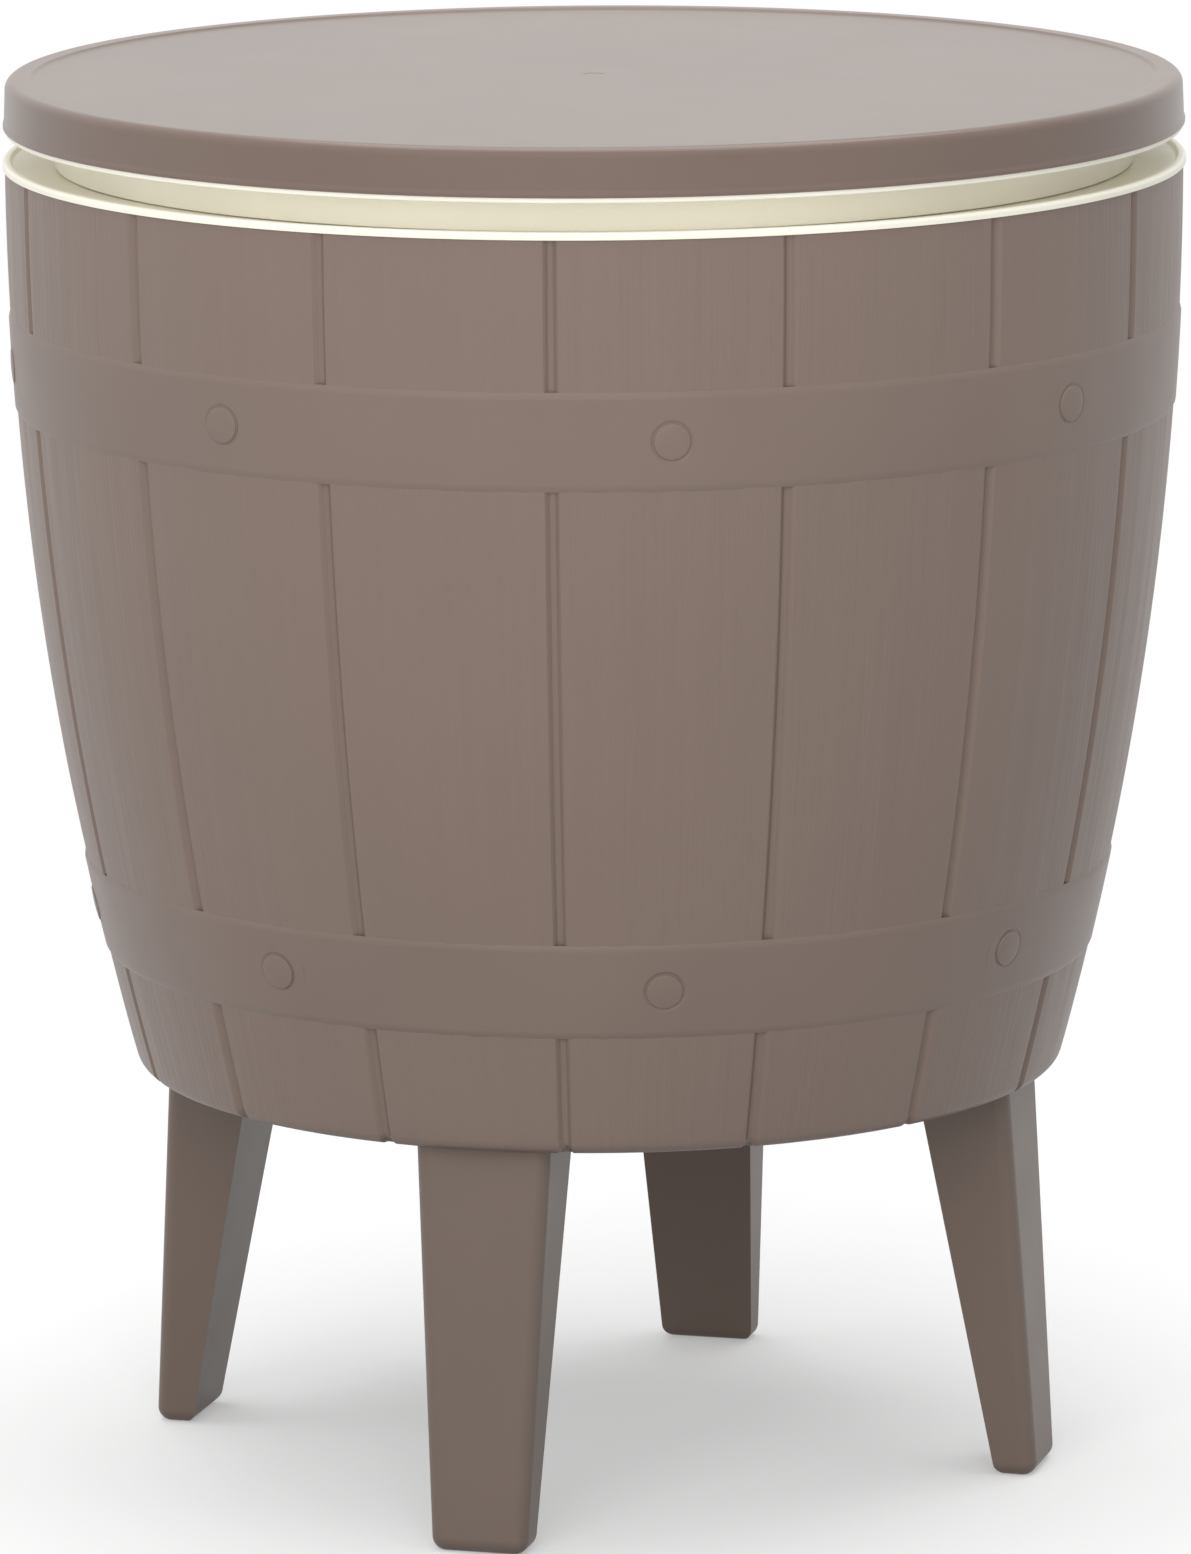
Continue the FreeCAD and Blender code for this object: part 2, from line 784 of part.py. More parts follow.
def drain_plug():
    """Push-in plug with a flat grip under its head."""
    head_top = drain_end_z - plug_seal_thickness
    shank_top = head_top + plug_shank_length
    shank_radius = drain_bore_radius - plug_shank_gap
    plug = turned([
        (0, head_top - plug_head_height),
        (plug_head_radius, head_top - plug_head_height, plug_head_round),
        (plug_head_radius, head_top, plug_head_round),
        (shank_radius, head_top),
        (shank_radius, shank_top, plug_tip_round),
        (0, shank_top)])
    grip_low = head_top - plug_head_height - plug_grip_height
    grip = Part.makeBox(2 * plug_head_radius - plug_grip_width, plug_grip_width,
                        plug_grip_height)
    grip.translate(V(plug_grip_width / 2 - plug_head_radius, -plug_grip_width / 2, grip_low))
    upright = [edge for edge in grip.Edges if edge.BoundBox.ZLength > tolerance]
    grip = grip.makeFillet(plug_grip_round, upright)
    plug = plug.fuse(grip)
    plug.translate(V(0, drain_circle_radius, 0))
    return plug


def plug_seal():
    """Flat rubber washer between the plug's head and the spout's end."""
    top = drain_end_z
    washer = ring(drain_bore_radius, drain_tube_radius + plug_seal_overlap,
                  top - plug_seal_thickness, top)
    washer.translate(V(0, drain_circle_radius, 0))
    return washer


# Column


def key_tracks(gap, low, high, outer):
    """Key shaped pieces in the sleeve's wall, narrower by a gap on each side."""
    width = key_width + 2 * gap
    track = radial_box(bore_radius - moulded_in, outer, width, low, high)
    return copies_around(track, key_count)


def column_sleeve():
    """Fixed outer tube on the tub's floor, with key tracks and a seat for the ring."""
    flange_top = tub_floor_z + sleeve_flange_thickness
    sleeve = turned([
        (bore_radius, tub_floor_z),
        (sleeve_flange_radius, tub_floor_z),
        (sleeve_flange_radius, flange_top, sleeve_flange_round),
        (sleeve_radius, flange_top),
        (sleeve_radius, sleeve_top_z),
        (counterbore_radius, sleeve_top_z),
        (counterbore_radius, ring_under_z),
        (bore_radius, ring_under_z)])
    gusset_start = bore_radius + sleeve_wall / 2
    corners = [V(gusset_start, 0, flange_top - moulded_in)]
    corners.append(V(sleeve_radius + gusset_reach, 0, flange_top - moulded_in))
    corners.append(V(sleeve_radius + gusset_reach, 0, flange_top + gusset_toe))
    corners.append(V(sleeve_radius, 0, flange_top + gusset_height))
    corners.append(V(gusset_start, 0, flange_top + gusset_height))
    web = Part.Face(Part.makePolygon(corners + corners[:1])).extrude(V(0, gusset_thickness, 0))
    web.translate(V(0, -gusset_thickness / 2, 0))
    sleeve = sleeve.fuse(copies_around(web, sleeve_screw_count))
    tracks = key_tracks(key_gap, tub_floor_z, ring_under_z, key_track_radius)
    hole = disc(screw_thread_radius + screw_hole_gap, tub_floor_z, flange_top,
                sleeve_screw_circle)
    holes = copies_around(hole, sleeve_screw_count, diagonal)
    return sleeve.cut(tracks + holes)


def sleeve_screws():
    """Screws that hold the sleeve's flange to the blind bosses of the tub."""
    seat = tub_floor_z + sleeve_flange_thickness
    depth = sleeve_flange_thickness + sleeve_boss_height - screw_end_gap
    screw = pan_screw(seat, depth, DOWN, sleeve_screw_circle)
    return copies_around(screw, sleeve_screw_count, diagonal)


def lock_ring():
    """Ring in the sleeve's mouth: the lugs rise through its notches and rest on it."""
    outer = counterbore_radius - ring_fit
    inner = pole_radius + ring_pole_gap
    solid = ring(inner, outer, ring_under_z, ring_top_z)
    notch = ring_piece(neck_radius, lug_radius + notch_gap, ring_under_z, ring_top_z,
                       lug_bearing, notch_angle)
    solid = solid.cut(copies_around(notch, lug_count))
    peg = radial_box(bore_radius + thread_gap, key_track_radius - ring_fit, key_width,
                     ring_under_z - peg_height, ring_under_z)
    return solid.fuse(copies_around(peg, key_count))


def sleeve_cap():
    """Screwed cap: it holds the lock ring down, guides the pole and stops the lugs."""
    outer_skirt = sleeve_radius + cap_thread_gap
    outer = outer_skirt + cap_skirt_wall
    hole = pole_radius + cap_pole_gap
    spacer_outer = counterbore_radius - ring_fit
    spacer_inner = lug_radius + cap_spacer_gap
    skirt_low = sleeve_top_z + cap_plate - cap_skirt_height
    cap = turned([
        (hole, sleeve_top_z),
        (hole, sleeve_top_z + cap_plate, cap_bore_round),
        (outer, sleeve_top_z + cap_plate, cap_edge_round),
        (outer, skirt_low),
        (outer_skirt, skirt_low),
        (outer_skirt, sleeve_top_z),
        (spacer_outer, sleeve_top_z),
        (spacer_outer, ring_top_z),
        (spacer_inner, ring_top_z),
        (spacer_inner, sleeve_top_z)])
    flute_high = sleeve_top_z + cap_plate - 2 * cap_flute_radius
    flute = disc(cap_flute_radius, skirt_low, flute_high, outer + cap_flute_radius / 2)
    return cap.cut(copies_around(flute, cap_flute_count))


def guide_bush():
    """Keyed bush round the pole's neck, with the track that limits the turn."""
    inner = neck_radius + bush_neck_gap
    outer = bore_radius - bush_bore_gap
    low = neck_z + bush_end_gap
    high = collar_z - bush_end_gap
    solid = ring(inner, outer, low, high)
    keys = radial_box(outer - moulded_in, key_track_radius - key_depth_gap, key_width, low, high)
    solid = solid.fuse(copies_around(keys, key_count))
    sweep = tooth_angle + turn_angle + 2 * track_gap_angle
    middle = lug_bearing + turn_angle / 2
    track = ring_piece(neck_radius, neck_radius + tooth_reach + bush_neck_gap,
                       collar_z - tooth_height - bush_end_gap, high, middle, sweep)
    return solid.cut(track)


def pole_foot():
    """Moulded end of the pole: neck, collar, two locking lugs, stop tooth and spigot."""
    spigot = pole_radius - pole_wall - spigot_fit
    blind = neck_z + foot_screw_depth + screw_end_gap
    foot = turned([
        (0, blind),
        (screw_thread_radius, blind),
        (screw_thread_radius, neck_z),
        (neck_radius, neck_z, neck_round),
        (neck_radius, collar_z),
        (pole_radius, collar_z),
        (pole_radius, tube_z),
        (spigot, tube_z),
        (spigot, tube_z + spigot_length, spigot_round),
        (0, tube_z + spigot_length)])
    lug = ring_piece(neck_radius, lug_radius, lug_z, lug_top_z, lug_bearing, lug_angle)
    tooth = ring_piece(neck_radius - moulded_in, neck_radius + tooth_reach,
                       collar_z - tooth_height, collar_z + moulded_in,
                       lug_bearing, tooth_angle)
    return foot.fuse(copies_around(lug, lug_count) + [tooth])


def foot_washer():
    """Washer that holds the guide bush on the neck."""
    return ring(screw_thread_radius + screw_hole_gap, washer_radius, washer_z, neck_z)


def foot_screw():
    """Screw up into the pole's foot."""
    depth = washer_thickness + foot_screw_depth
    return pan_screw(washer_z, depth, UP, head_height=foot_screw_head_height)


def pin_hole(radius):
    """Cross hole for the pole's pin."""
    reach = socket_hub_radius + moulded_in
    return Part.makeCylinder(radius, 2 * reach, V(-reach, 0, pin_z), V(1, 0, 0))


def lift_pole():
    """Moving inner tube of the column."""
    tube = ring(pole_radius - pole_wall, pole_radius, tube_z, pole_top_z)
    return tube.cut(pin_hole(pin_radius + thread_gap))


def pole_socket():
    """Flanged cup under the lid that takes the pole's upper end."""
    hub_top = socket_flange_z + socket_hub_height
    cup = pole_radius + socket_pole_fit
    socket = turned([
        (cup, socket_flange_z, socket_mouth_round),
        (socket_flange_radius, socket_flange_z, socket_flange_round),
        (socket_flange_radius, plug_z),
        (socket_hub_radius, plug_z),
        (socket_hub_radius, hub_top + socket_cap, socket_hub_round),
        (0, hub_top + socket_cap),
        (0, hub_top),
        (cup, hub_top)])
    hole = disc(screw_thread_radius + screw_hole_gap, socket_flange_z, plug_z,
                socket_screw_circle)
    holes = copies_around(hole, sleeve_screw_count, diagonal)
    return socket.cut(holes + [pin_hole(pin_radius + thread_gap)])


def pole_pin():
    """Cross pin through the socket's hub and the pole."""
    half = socket_hub_radius
    return Part.makeCylinder(pin_radius, 2 * half, V(-half, 0, pin_z), V(1, 0, 0))


def socket_screws():
    """Screws that hold the socket to the lid, into the table top's inner bosses."""
    depth = socket_flange_thickness + lid_wall + leg_screw_depth
    screw = pan_screw(socket_flange_z, depth, UP, socket_screw_circle)
    return copies_around(screw, sleeve_screw_count, diagonal)


# Lid


def lid_screw_circle():
    """Radius of the circle of screws that join the lid's two halves."""
    return plug_radius - lid_wall - lid_screw_inset


def tabletop_cover():
    """The table top: raised rim, rounded edge, skirt with a small lip, bosses and ribs."""
    top_edge = lip_radius - skirt_lip
    rim_inner = top_edge - raised_rim_width
    surface = top_z - raised_rim_height
    cover = turned([
        (0, top_under_z),
        (top_edge - top_wall, top_under_z, top_inner_round),
        (top_edge - top_wall + skirt_draft, skirt_z),
        (lip_radius, skirt_z),
        (lip_radius, skirt_z + skirt_lip_height),
        (top_edge + skirt_draft, skirt_z + 2 * skirt_lip_height),
        (top_edge, top_z, top_round),
        (rim_inner, top_z),
        (rim_inner - raised_rim_slope, surface),
        (0, surface)])
    boss_low = plug_z + lid_wall
    outer_boss = disc(lid_boss_radius, boss_low, top_under_z + moulded_in, lid_screw_circle())
    inner_boss = disc(lid_boss_radius, boss_low, top_under_z + moulded_in, socket_screw_circle)
    rib_outer = plug_radius - top_rib_margin
    rib = radial_box(top_rib_inner_radius, rib_outer, top_rib_thickness,
                     top_under_z - top_rib_depth, top_under_z + moulded_in)
    added = copies_around(outer_boss, lid_screw_count)
    added += copies_around(inner_boss, sleeve_screw_count, diagonal)
    added += copies_around(rib, top_rib_count)
    pilot_top = boss_low + leg_screw_depth + screw_end_gap
    outer_pilot = disc(screw_thread_radius, boss_low, pilot_top, lid_screw_circle())
    inner_pilot = disc(screw_thread_radius, boss_low, pilot_top, socket_screw_circle)
    pilots = copies_around(outer_pilot, lid_screw_count)
    pilots += copies_around(inner_pilot, sleeve_screw_count, diagonal)
    return cover.fuse(added).cut(pilots)


def lid_inner_shell():
    """Cream tray under the table top: lip, gap wall, seat and plug."""
    hole = socket_hub_radius + hub_hole_fit
    lip_low = skirt_z - lid_lip_height
    upstand = lip_radius - skirt_lip - top_wall - upstand_fit
    shell = turned([
        (lip_radius - lid_lip_inset, skirt_z),
        (lip_radius - lid_lip_inset, lip_low, lid_lip_round),
        (lid_wall_radius, lip_low, lid_gap_round),
        (lid_wall_radius, seat_z, lid_lip_round),
        (plug_radius, seat_z),
        (plug_radius, plug_z, plug_round),
        (hole, plug_z),
        (hole, plug_z + lid_wall),
        (plug_radius - lid_wall, plug_z + lid_wall),
        (plug_radius - lid_wall, seat_z + lid_wall),
        (lid_wall_radius - lid_wall, seat_z + lid_wall),
        (lid_wall_radius - lid_wall, skirt_z),
        (upstand - lid_wall, skirt_z),
        (upstand - lid_wall, skirt_z + upstand_height),
        (upstand, skirt_z + upstand_height),
        (upstand, skirt_z)])
    hole_radius = screw_thread_radius + screw_hole_gap
    outer_hole = disc(hole_radius, plug_z, plug_z + lid_wall, lid_screw_circle())
    inner_hole = disc(hole_radius, plug_z, plug_z + lid_wall, socket_screw_circle)
    holes = copies_around(outer_hole, lid_screw_count)
    holes += copies_around(inner_hole, sleeve_screw_count, diagonal)
    return shell.cut(holes)


def lid_screws():
    """Screws that join the lid's two halves."""
    screw = pan_screw(plug_z, lid_wall + leg_screw_depth, UP, lid_screw_circle())
    return copies_around(screw, lid_screw_count)


def lid_seal():
    """Soft ring with two lips round the plug, just inside the tub's mouth."""
    top = seat_z - seal_drop
    low = top - seal_height
    outer = mouth_radius - seal_fit
    middle = (top + low) / 2
    return turned([
        (plug_radius, low),
        (outer, low + seal_lip),
        (outer - seal_lip, middle),
        (outer, top - seal_lip),
        (plug_radius, top)])


# Every node, with its solids


def build():
    """Make each piece and write it."""
    os.makedirs("parts", exist_ok=True)
    save("barrel_shell", [barrel_shell()])
    save("cooler_liner", [cooler_liner()])
    save("tie_screws", tie_screws())
    one_leg = leg()
    for name, angle in (("right_leg", 0), ("back_leg", 90), ("left_leg", 180), ("front_leg", 270)):
        save(name, [turned_to(one_leg, angle)])
    save("leg_screws", leg_screws())
    save("drain_spout", [drain_spout()])
    save("drain_nut", [drain_nut()])
    save("drain_plug", [drain_plug()])
    save("plug_seal", [plug_seal()])
    save("column_sleeve", [column_sleeve()])
    save("sleeve_screws", sleeve_screws())
    save("lock_ring", [lock_ring()])
    save("sleeve_cap", [sleeve_cap()])
    save("guide_bush", [guide_bush()])
    save("pole_foot", [pole_foot()])
    save("foot_washer", [foot_washer()])
    save("foot_screw", [foot_screw()])
    save("lift_pole", [lift_pole()])
    save("pole_socket", [pole_socket()])
    save("pole_pin", [pole_pin()])
    save("socket_screws", socket_screws())
    save("tabletop_cover", [tabletop_cover()])
    save("lid_inner_shell", [lid_inner_shell()])
    save("lid_screws", lid_screws())
    save("lid_seal", [lid_seal()])
    print("lift travel", round(lift_travel, 3), "height", top_z)


build()
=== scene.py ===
# %% [markdown]
# # Cooler table with a lid
#
# The object is a round patio cooler that is also a side table: a moulded barrel on
# four splayed legs, a cream tub inside it, and a table top that lifts and turns on a
# telescopic column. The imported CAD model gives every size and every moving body. This
# lesson dresses it: each visible piece gets a clean surface worked out with numpy and
# a finish made from shader nodes.

import json
import math

import bmesh
import bpy
import numpy as np
from mathutils import Matrix, Vector


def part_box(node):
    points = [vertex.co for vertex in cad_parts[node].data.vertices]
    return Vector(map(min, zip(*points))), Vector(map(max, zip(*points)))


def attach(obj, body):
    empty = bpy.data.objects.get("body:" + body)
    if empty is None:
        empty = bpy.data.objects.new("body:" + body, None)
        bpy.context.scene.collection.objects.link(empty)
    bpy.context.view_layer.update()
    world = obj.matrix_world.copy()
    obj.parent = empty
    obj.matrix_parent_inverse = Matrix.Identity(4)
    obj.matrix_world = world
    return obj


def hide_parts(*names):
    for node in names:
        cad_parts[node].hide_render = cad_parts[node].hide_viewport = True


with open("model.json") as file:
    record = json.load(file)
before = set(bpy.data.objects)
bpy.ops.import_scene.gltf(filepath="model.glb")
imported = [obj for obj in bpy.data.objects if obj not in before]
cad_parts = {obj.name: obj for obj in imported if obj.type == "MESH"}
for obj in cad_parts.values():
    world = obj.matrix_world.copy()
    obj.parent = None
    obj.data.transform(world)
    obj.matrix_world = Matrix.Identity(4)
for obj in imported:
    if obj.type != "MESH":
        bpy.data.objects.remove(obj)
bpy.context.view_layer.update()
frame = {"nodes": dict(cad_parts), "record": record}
scene = bpy.context.scene

# %% [markdown]
# ## The camera
#
# The photograph was taken from far away with a long lens, a little above the table
# top. The viewing angles, the distance and the lens were fitted to the outline of the
# table top, the hoops, the stave joints and the feet. The camera could be aimed with a
# constraint, but a matrix made from three plain vectors says exactly what it does.

# %% Camera at the photograph's viewing angle
photo_height = 1554
azimuth = math.radians(15.382)
elevation = math.radians(10.613)
roll = math.radians(-0.35)
camera_distance = 4.2773
aim_height = 0.3181
lens_in_pixels = 10091.4
sensor = 36.0
centre_offset = (2.0, -66.8)


def camera_at_the_photo():
    """Camera on a sphere round the aim point, looking at it, with a small roll."""
    back = Vector((
        math.sin(azimuth) * math.cos(elevation),
        -math.cos(azimuth) * math.cos(elevation),
        math.sin(elevation)))
    level = Vector((math.cos(azimuth), math.sin(azimuth), 0))
    upright = back.cross(level)
    right = level * math.cos(roll) + upright * math.sin(roll)
    up = upright * math.cos(roll) - level * math.sin(roll)
    data = bpy.data.cameras.new("camera")
    data.sensor_width = sensor
    data.lens = lens_in_pixels / photo_height * sensor
    data.shift_x = -centre_offset[0] / photo_height
    data.shift_y = centre_offset[1] / photo_height
    camera = bpy.data.objects.new("camera", data)
    turn = Matrix((right, up, back)).transposed().to_4x4()
    place = Vector((0, 0, aim_height)) + back * camera_distance
    camera.matrix_world = Matrix.Translation(place) @ turn
    scene.collection.objects.link(camera)
    scene.camera = camera
    return camera


camera = camera_at_the_photo()
print("lens", round(camera.data.lens, 1), "mm")

# %% [markdown]
# ## Floor, world and lamps
#
# The object stands on a plain pale floor in plain studio light. Large soft lamps hang
# above and stand in front, low enough to shine into the gap under the table top, and a
# weak one stands at the left. Those in front and at the left aren't mirrored in the
# plastic, because their images would lie on the skirt and the table top as pale patches.
# The light is as bright as a sheet of white paper needs to look white, so that each
# colour renders about as it is written. The white that the camera sees comes from the Is
# Camera Ray switch in the world and in the floor, not from more light. Near the object
# the floor is a matt surface that takes the soft shadow, a little lightened, and farther
# out it turns into the plain white of the background. The light itself meets a floor
# that is dark near the object, so that the legs stay dark, and pale farther out, so that
# it lights the gap.

# %% Shader values that can be used in Python sums


class Value:
    """One output of a shader node. A sum or product of values adds its Math nodes."""

    def __init__(self, tree, socket=None):
        self.tree = tree
        self.socket = socket

    def node(self, kind, settings=None, sockets=None, out=0):
        """Add one node: first its settings, then its sockets, then take one output."""
        made = self.tree.nodes.new("ShaderNode" + kind)
        for name, value in (settings or {}).items():
            setattr(made, name, value)
        for name, value in (sockets or {}).items():
            if isinstance(value, Value):
                self.tree.links.new(value.socket, made.inputs[name])
            else:
                made.inputs[name].default_value = value
        return Value(self.tree, made.outputs[out] if made.outputs else None)

    def math(self, operation, *values):
        return self.node("Math", {"operation": operation}, dict(enumerate(values)))

    def __add__(self, other):
        return self.math("ADD", self, other)

    def __radd__(self, other):
        return self.math("ADD", other, self)

    def __sub__(self, other):
        return self.math("SUBTRACT", self, other)

    def __rsub__(self, other):
        return self.math("SUBTRACT", other, self)

    def __mul__(self, other):
        return self.math("MULTIPLY", self, other)

    def __rmul__(self, other):
        return self.math("MULTIPLY", other, self)


print("a sum or product of two Values adds a Math node")

# %% World
room_light = 0.57


def empty_tree(owner):
    """The owner's node tree with every node taken out."""
    owner.use_nodes = True
    owner.node_tree.nodes.clear()
    return Value(owner.node_tree)


def seen_directly(start):
    """1 for camera, glossy and transmission rays, 0 for light that reaches a surface."""
    rays = [start.node("LightPath", out=name) for name in
            ("Is Camera Ray", "Is Glossy Ray", "Is Transmission Ray")]
    return rays[0].math("MINIMUM", rays[0] + rays[1] + rays[2], 1.0)


def white_world():
    """Even light of a plain level on surfaces, plain white to the camera."""
    world = bpy.data.worlds.new("studio")
    scene.world = world
    start = empty_tree(world)
    level = seen_directly(start) * (1 - room_light) + room_light
    light = start.node("Background", None, {"Color": (1, 1, 1, 1), "Strength": level})
    start.node("OutputWorld", None, {"Surface": light})


white_world()
print("world light", room_light)

# %% Floor
floor_reach = 30.0
near_shade, far_shade = 0.2, 0.9
dark_reach, pale_reach = 0.8, 1.8
near_white = 0.3
shadow_reach, white_reach = 0.35, 0.95


def pale_floor():
    """Large square at the height of the feet. To the camera it turns from matt to plain
    white with the distance from the object: smoothstep of the length of (x, y). To the
    light it is dark near the object and pale farther out, so that it lights the gap from
    in front and leaves the legs dark."""
    corners = [(-1, -1, 0), (1, -1, 0), (1, 1, 0), (-1, 1, 0)]
    mesh = bpy.data.meshes.new("floor")
    mesh.from_pydata([[floor_reach * v for v in corner] for corner in corners], [],
                     [(0, 1, 2, 3)])
    floor = bpy.data.objects.new("floor", mesh)
    scene.collection.objects.link(floor)
    material = bpy.data.materials.new("floor")
    start = empty_tree(material)
    camera_ray = seen_directly(start)
    place = start.node("TexCoord", out="Object")
    distance = start.node("VectorMath", {"operation": "LENGTH"}, {0: place}, out=1)

    def ramp(reach, full, low, high):
        return start.node("MapRange", {"interpolation_type": "SMOOTHSTEP"}, {
            "Value": distance, "From Min": reach, "From Max": full,
            "To Min": low, "To Max": high})

    shade = ramp(dark_reach, pale_reach, near_shade, far_shade)
    grey = shade.math("MAXIMUM", shade, camera_ray)
    colour = start.node("CombineColor", None, {"Red": grey, "Green": grey, "Blue": grey})
    paint = start.node("BsdfDiffuse", None, {"Color": colour})
    plain_white = start.node("Emission", None, {"Color": (1, 1, 1, 1), "Strength": 1.0})
    share = camera_ray * ramp(shadow_reach, white_reach, near_white, 1.0)
    surface = start.node("MixShader", None, {0: share, 1: paint, 2: plain_white})
    start.node("OutputMaterial", None, {"Surface": surface})
    mesh.materials.append(material)


pale_floor()
print("floor plain white from", white_reach, "m, pale to the light from", pale_reach, "m")

# %% Lamps


def soft_lamp(name, place, aim, size, power, mirrored=True):
    """Square area lamp at a place, turned to an aim point, its power in watts. One that
    isn't mirrored lights the object like a lamp behind a polariser, with no glare."""
    data = bpy.data.lights.new(name, "AREA")
    data.shape = "SQUARE"
    data.size = size
    data.energy = power
    lamp = bpy.data.objects.new(name, data)
    lamp.location = place
    lamp.rotation_euler = (Vector(place) - Vector(aim)).to_track_quat("Z", "Y").to_euler()
    lamp.visible_camera = False
    lamp.visible_glossy = mirrored
    scene.collection.objects.link(lamp)


lamp_aim = (0, 0, 0.35)
soft_lamp("lamp_top", (0.0, 0.3, 2.6), lamp_aim, 2.2, 38)
soft_lamp("lamp_front", (0.35, -3.4, 1.5), lamp_aim, 3.1, 80, mirrored=False)
soft_lamp("lamp_left", (-2.4, -0.4, 0.9), lamp_aim, 1.8, 8, mirrored=False)
scene.view_settings.view_transform = "Standard"

# %% [markdown]
# ## Sizes read from the frame
#
# The dressed pieces have to sit exactly where the CAD pieces are, so their main sizes
# come from the boxes of the CAD nodes. Only what a box can't say, such as the bow of
# the staves, is a value of its own.

# %% Main sizes, in metres
barrel_low, barrel_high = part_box("barrel_shell")
rim_radius = barrel_high.x
rim_z = barrel_high.z
barrel_z = barrel_low.z
bow_radius = 1.46
stave_count = 16
legs = ("right_leg", "back_leg", "left_leg", "front_leg")
print("rim radius", round(rim_radius, 4), "height", round(rim_z, 4),
      "barrel's underside", round(barrel_z, 4))

# %% [markdown]
# ## From arrays to meshes
#
# A moulded surface is a grid: rows run along its section and columns run round it.
# One function turns such an array of points into a mesh in a single step, which is
# much faster than adding vertices one by one.

# %% Section with rounded corners


def outline(points, arc_steps=6, longest=0.001):
    """Section through points (r, z) or (r, z, radius): each radius rounds its corner
    with an arc that touches both runs, centre = corner + bisector * radius / sin(half)."""
    line = []
    for i, point in enumerate(points):
        here = np.array(point[:2], float)
        if len(point) < 3:
            line.append(here[None])
            continue
        back = np.array(points[i - 1][:2]) - here
        ahead = np.array(points[(i + 1) % len(points)][:2]) - here
        back /= np.linalg.norm(back)
        ahead /= np.linalg.norm(ahead)
        half = math.acos(np.clip(back @ ahead, -1, 1)) / 2
        middle = (back + ahead) / np.linalg.norm(back + ahead)
        centre = here + middle * point[2] / math.sin(half)
        start = back * point[2] / math.tan(half) + here - centre
        end = ahead * point[2] / math.tan(half) + here - centre
        sweep = math.pi - 2 * half
        steps = max(arc_steps, math.ceil(point[2] * sweep / longest))
        share = np.linspace(0, 1, steps + 1)[:, None]
        arc = (np.sin((1 - share) * sweep) * start + np.sin(share * sweep) * end)
        line.append(centre + arc / math.sin(sweep))
    return np.concatenate(line)


print("a test corner has", len(outline([(0, 0), (1, 0, 0.2), (1, 1)])), "points")

# %% Section carried round the axis


def full_circle(columns):
    """Even angles once round the axis, without the last, which is the first again."""
    return np.arange(columns) * 2 * math.pi / columns


def at_turn(r, turn, z):
    """Points (..., 3) at a distance r from the Z axis, turned by turn, at a height z."""
    r, turn, z = np.broadcast_arrays(r, turn, z)
    return np.stack([r * np.cos(turn), r * np.sin(turn), z], axis=-1)


def around(section, angles):
    """Points (rows, columns, 3) of a section (r, z) carried round the Z axis."""
    r, z = section.T[..., None]
    return at_turn(r, angles, z)


def grid_faces(rows, columns, close_rows, close_columns):
    """Corner numbers of the quads between neighbouring rows and columns."""
    low = np.arange(rows if close_rows else rows - 1)
    left = np.arange(columns if close_columns else columns - 1)
    low, left = np.meshgrid(low, left, indexing="ij")
    high = (low + 1) % rows
    right = (left + 1) % columns
    corners = [low * columns + left, low * columns + right,
               high * columns + right, high * columns + left]
    return np.stack(corners, axis=-1).reshape(-1, 4)


print("a closed grid of 4 x 8 points has", len(grid_faces(4, 8, True, True)), "faces")

# %% Grid of points to a dressed mesh


def mesh_from(name, points, faces, crease=40):
    """Mesh object from points (..., 3) and faces (m, 3 or 4). Points that lie on one spot,
    as at a pole, are merged, and the surface is smooth up to a crease angle."""
    places = np.asarray(points, np.float32).ravel()
    mesh = bpy.data.meshes.new(name)
    mesh.vertices.add(places.size // 3)
    mesh.vertices.foreach_set("co", places)
    mesh.loops.add(faces.size)
    mesh.loops.foreach_set("vertex_index", faces.astype(np.int32).ravel())
    mesh.polygons.add(len(faces))
    starts = np.arange(0, faces.size, faces.shape[1], dtype=np.int32)
    mesh.polygons.foreach_set("loop_start", starts)
    mesh.update(calc_edges=True)
    merged = bmesh.new()
    merged.from_mesh(mesh)
    bmesh.ops.remove_doubles(merged, verts=merged.verts, dist=1e-6)
    merged.to_mesh(mesh)
    merged.free()
    mesh.shade_smooth()
    mesh.set_sharp_from_angle(angle=math.radians(crease))
    piece = bpy.data.objects.new(name, mesh)
    scene.collection.objects.link(piece)
    return piece


def dress(piece, material, body, *nodes):
    """Give a piece its finish, the body it moves with and the CAD nodes it stands for."""
    piece.data.materials.clear()
    piece.data.materials.append(material)
    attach(piece, body)
    if nodes:
        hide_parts(*nodes)
    triangles = sum(len(face.vertices) - 2 for face in piece.data.polygons)
    print(piece.name, triangles, "triangles")


def smoothstep(value):
    """0 below 0, 1 above 1 and 3 v^2 - 2 v^3 between."""
    value = np.clip(value, 0, 1)
    return value * value * (3 - 2 * value)


print("smoothstep of a quarter is", smoothstep(0.25))

# %% [markdown]
# ## Finishes
#
# Every part of the outside is matt moulded plastic. A single flat colour looks like
# computer graphics, because a real moulding has a faint cloudiness in its colour, a
# fine spark-eroded skin and small changes of gloss. Three noise textures at different
# scales give exactly that. Coordinates are Object coordinates, in metres, so the grain
# has the same real size on every piece. The taupe has four shades, for the grained
# staves, the smooth parts, the glossier table top and the legs. The table top's is darker,
# partly to leave room for the reflection of its glossier skin and partly as painted shade
# on the skirt, which faces up into more light. The legs' is darker still: painted shade,
# standing for the shade that falls on them under the barrel.

# %% Nodes that the finishes share


def finished(name, slot_name, build):
    """New material whose nodes the function build makes, tied to a slot of the record."""
    material = bpy.data.materials.new(name)
    build(empty_tree(material))
    material["slot"] = slot_name
    return material


def object_place(start):
    return start.node("TexCoord", out="Object")


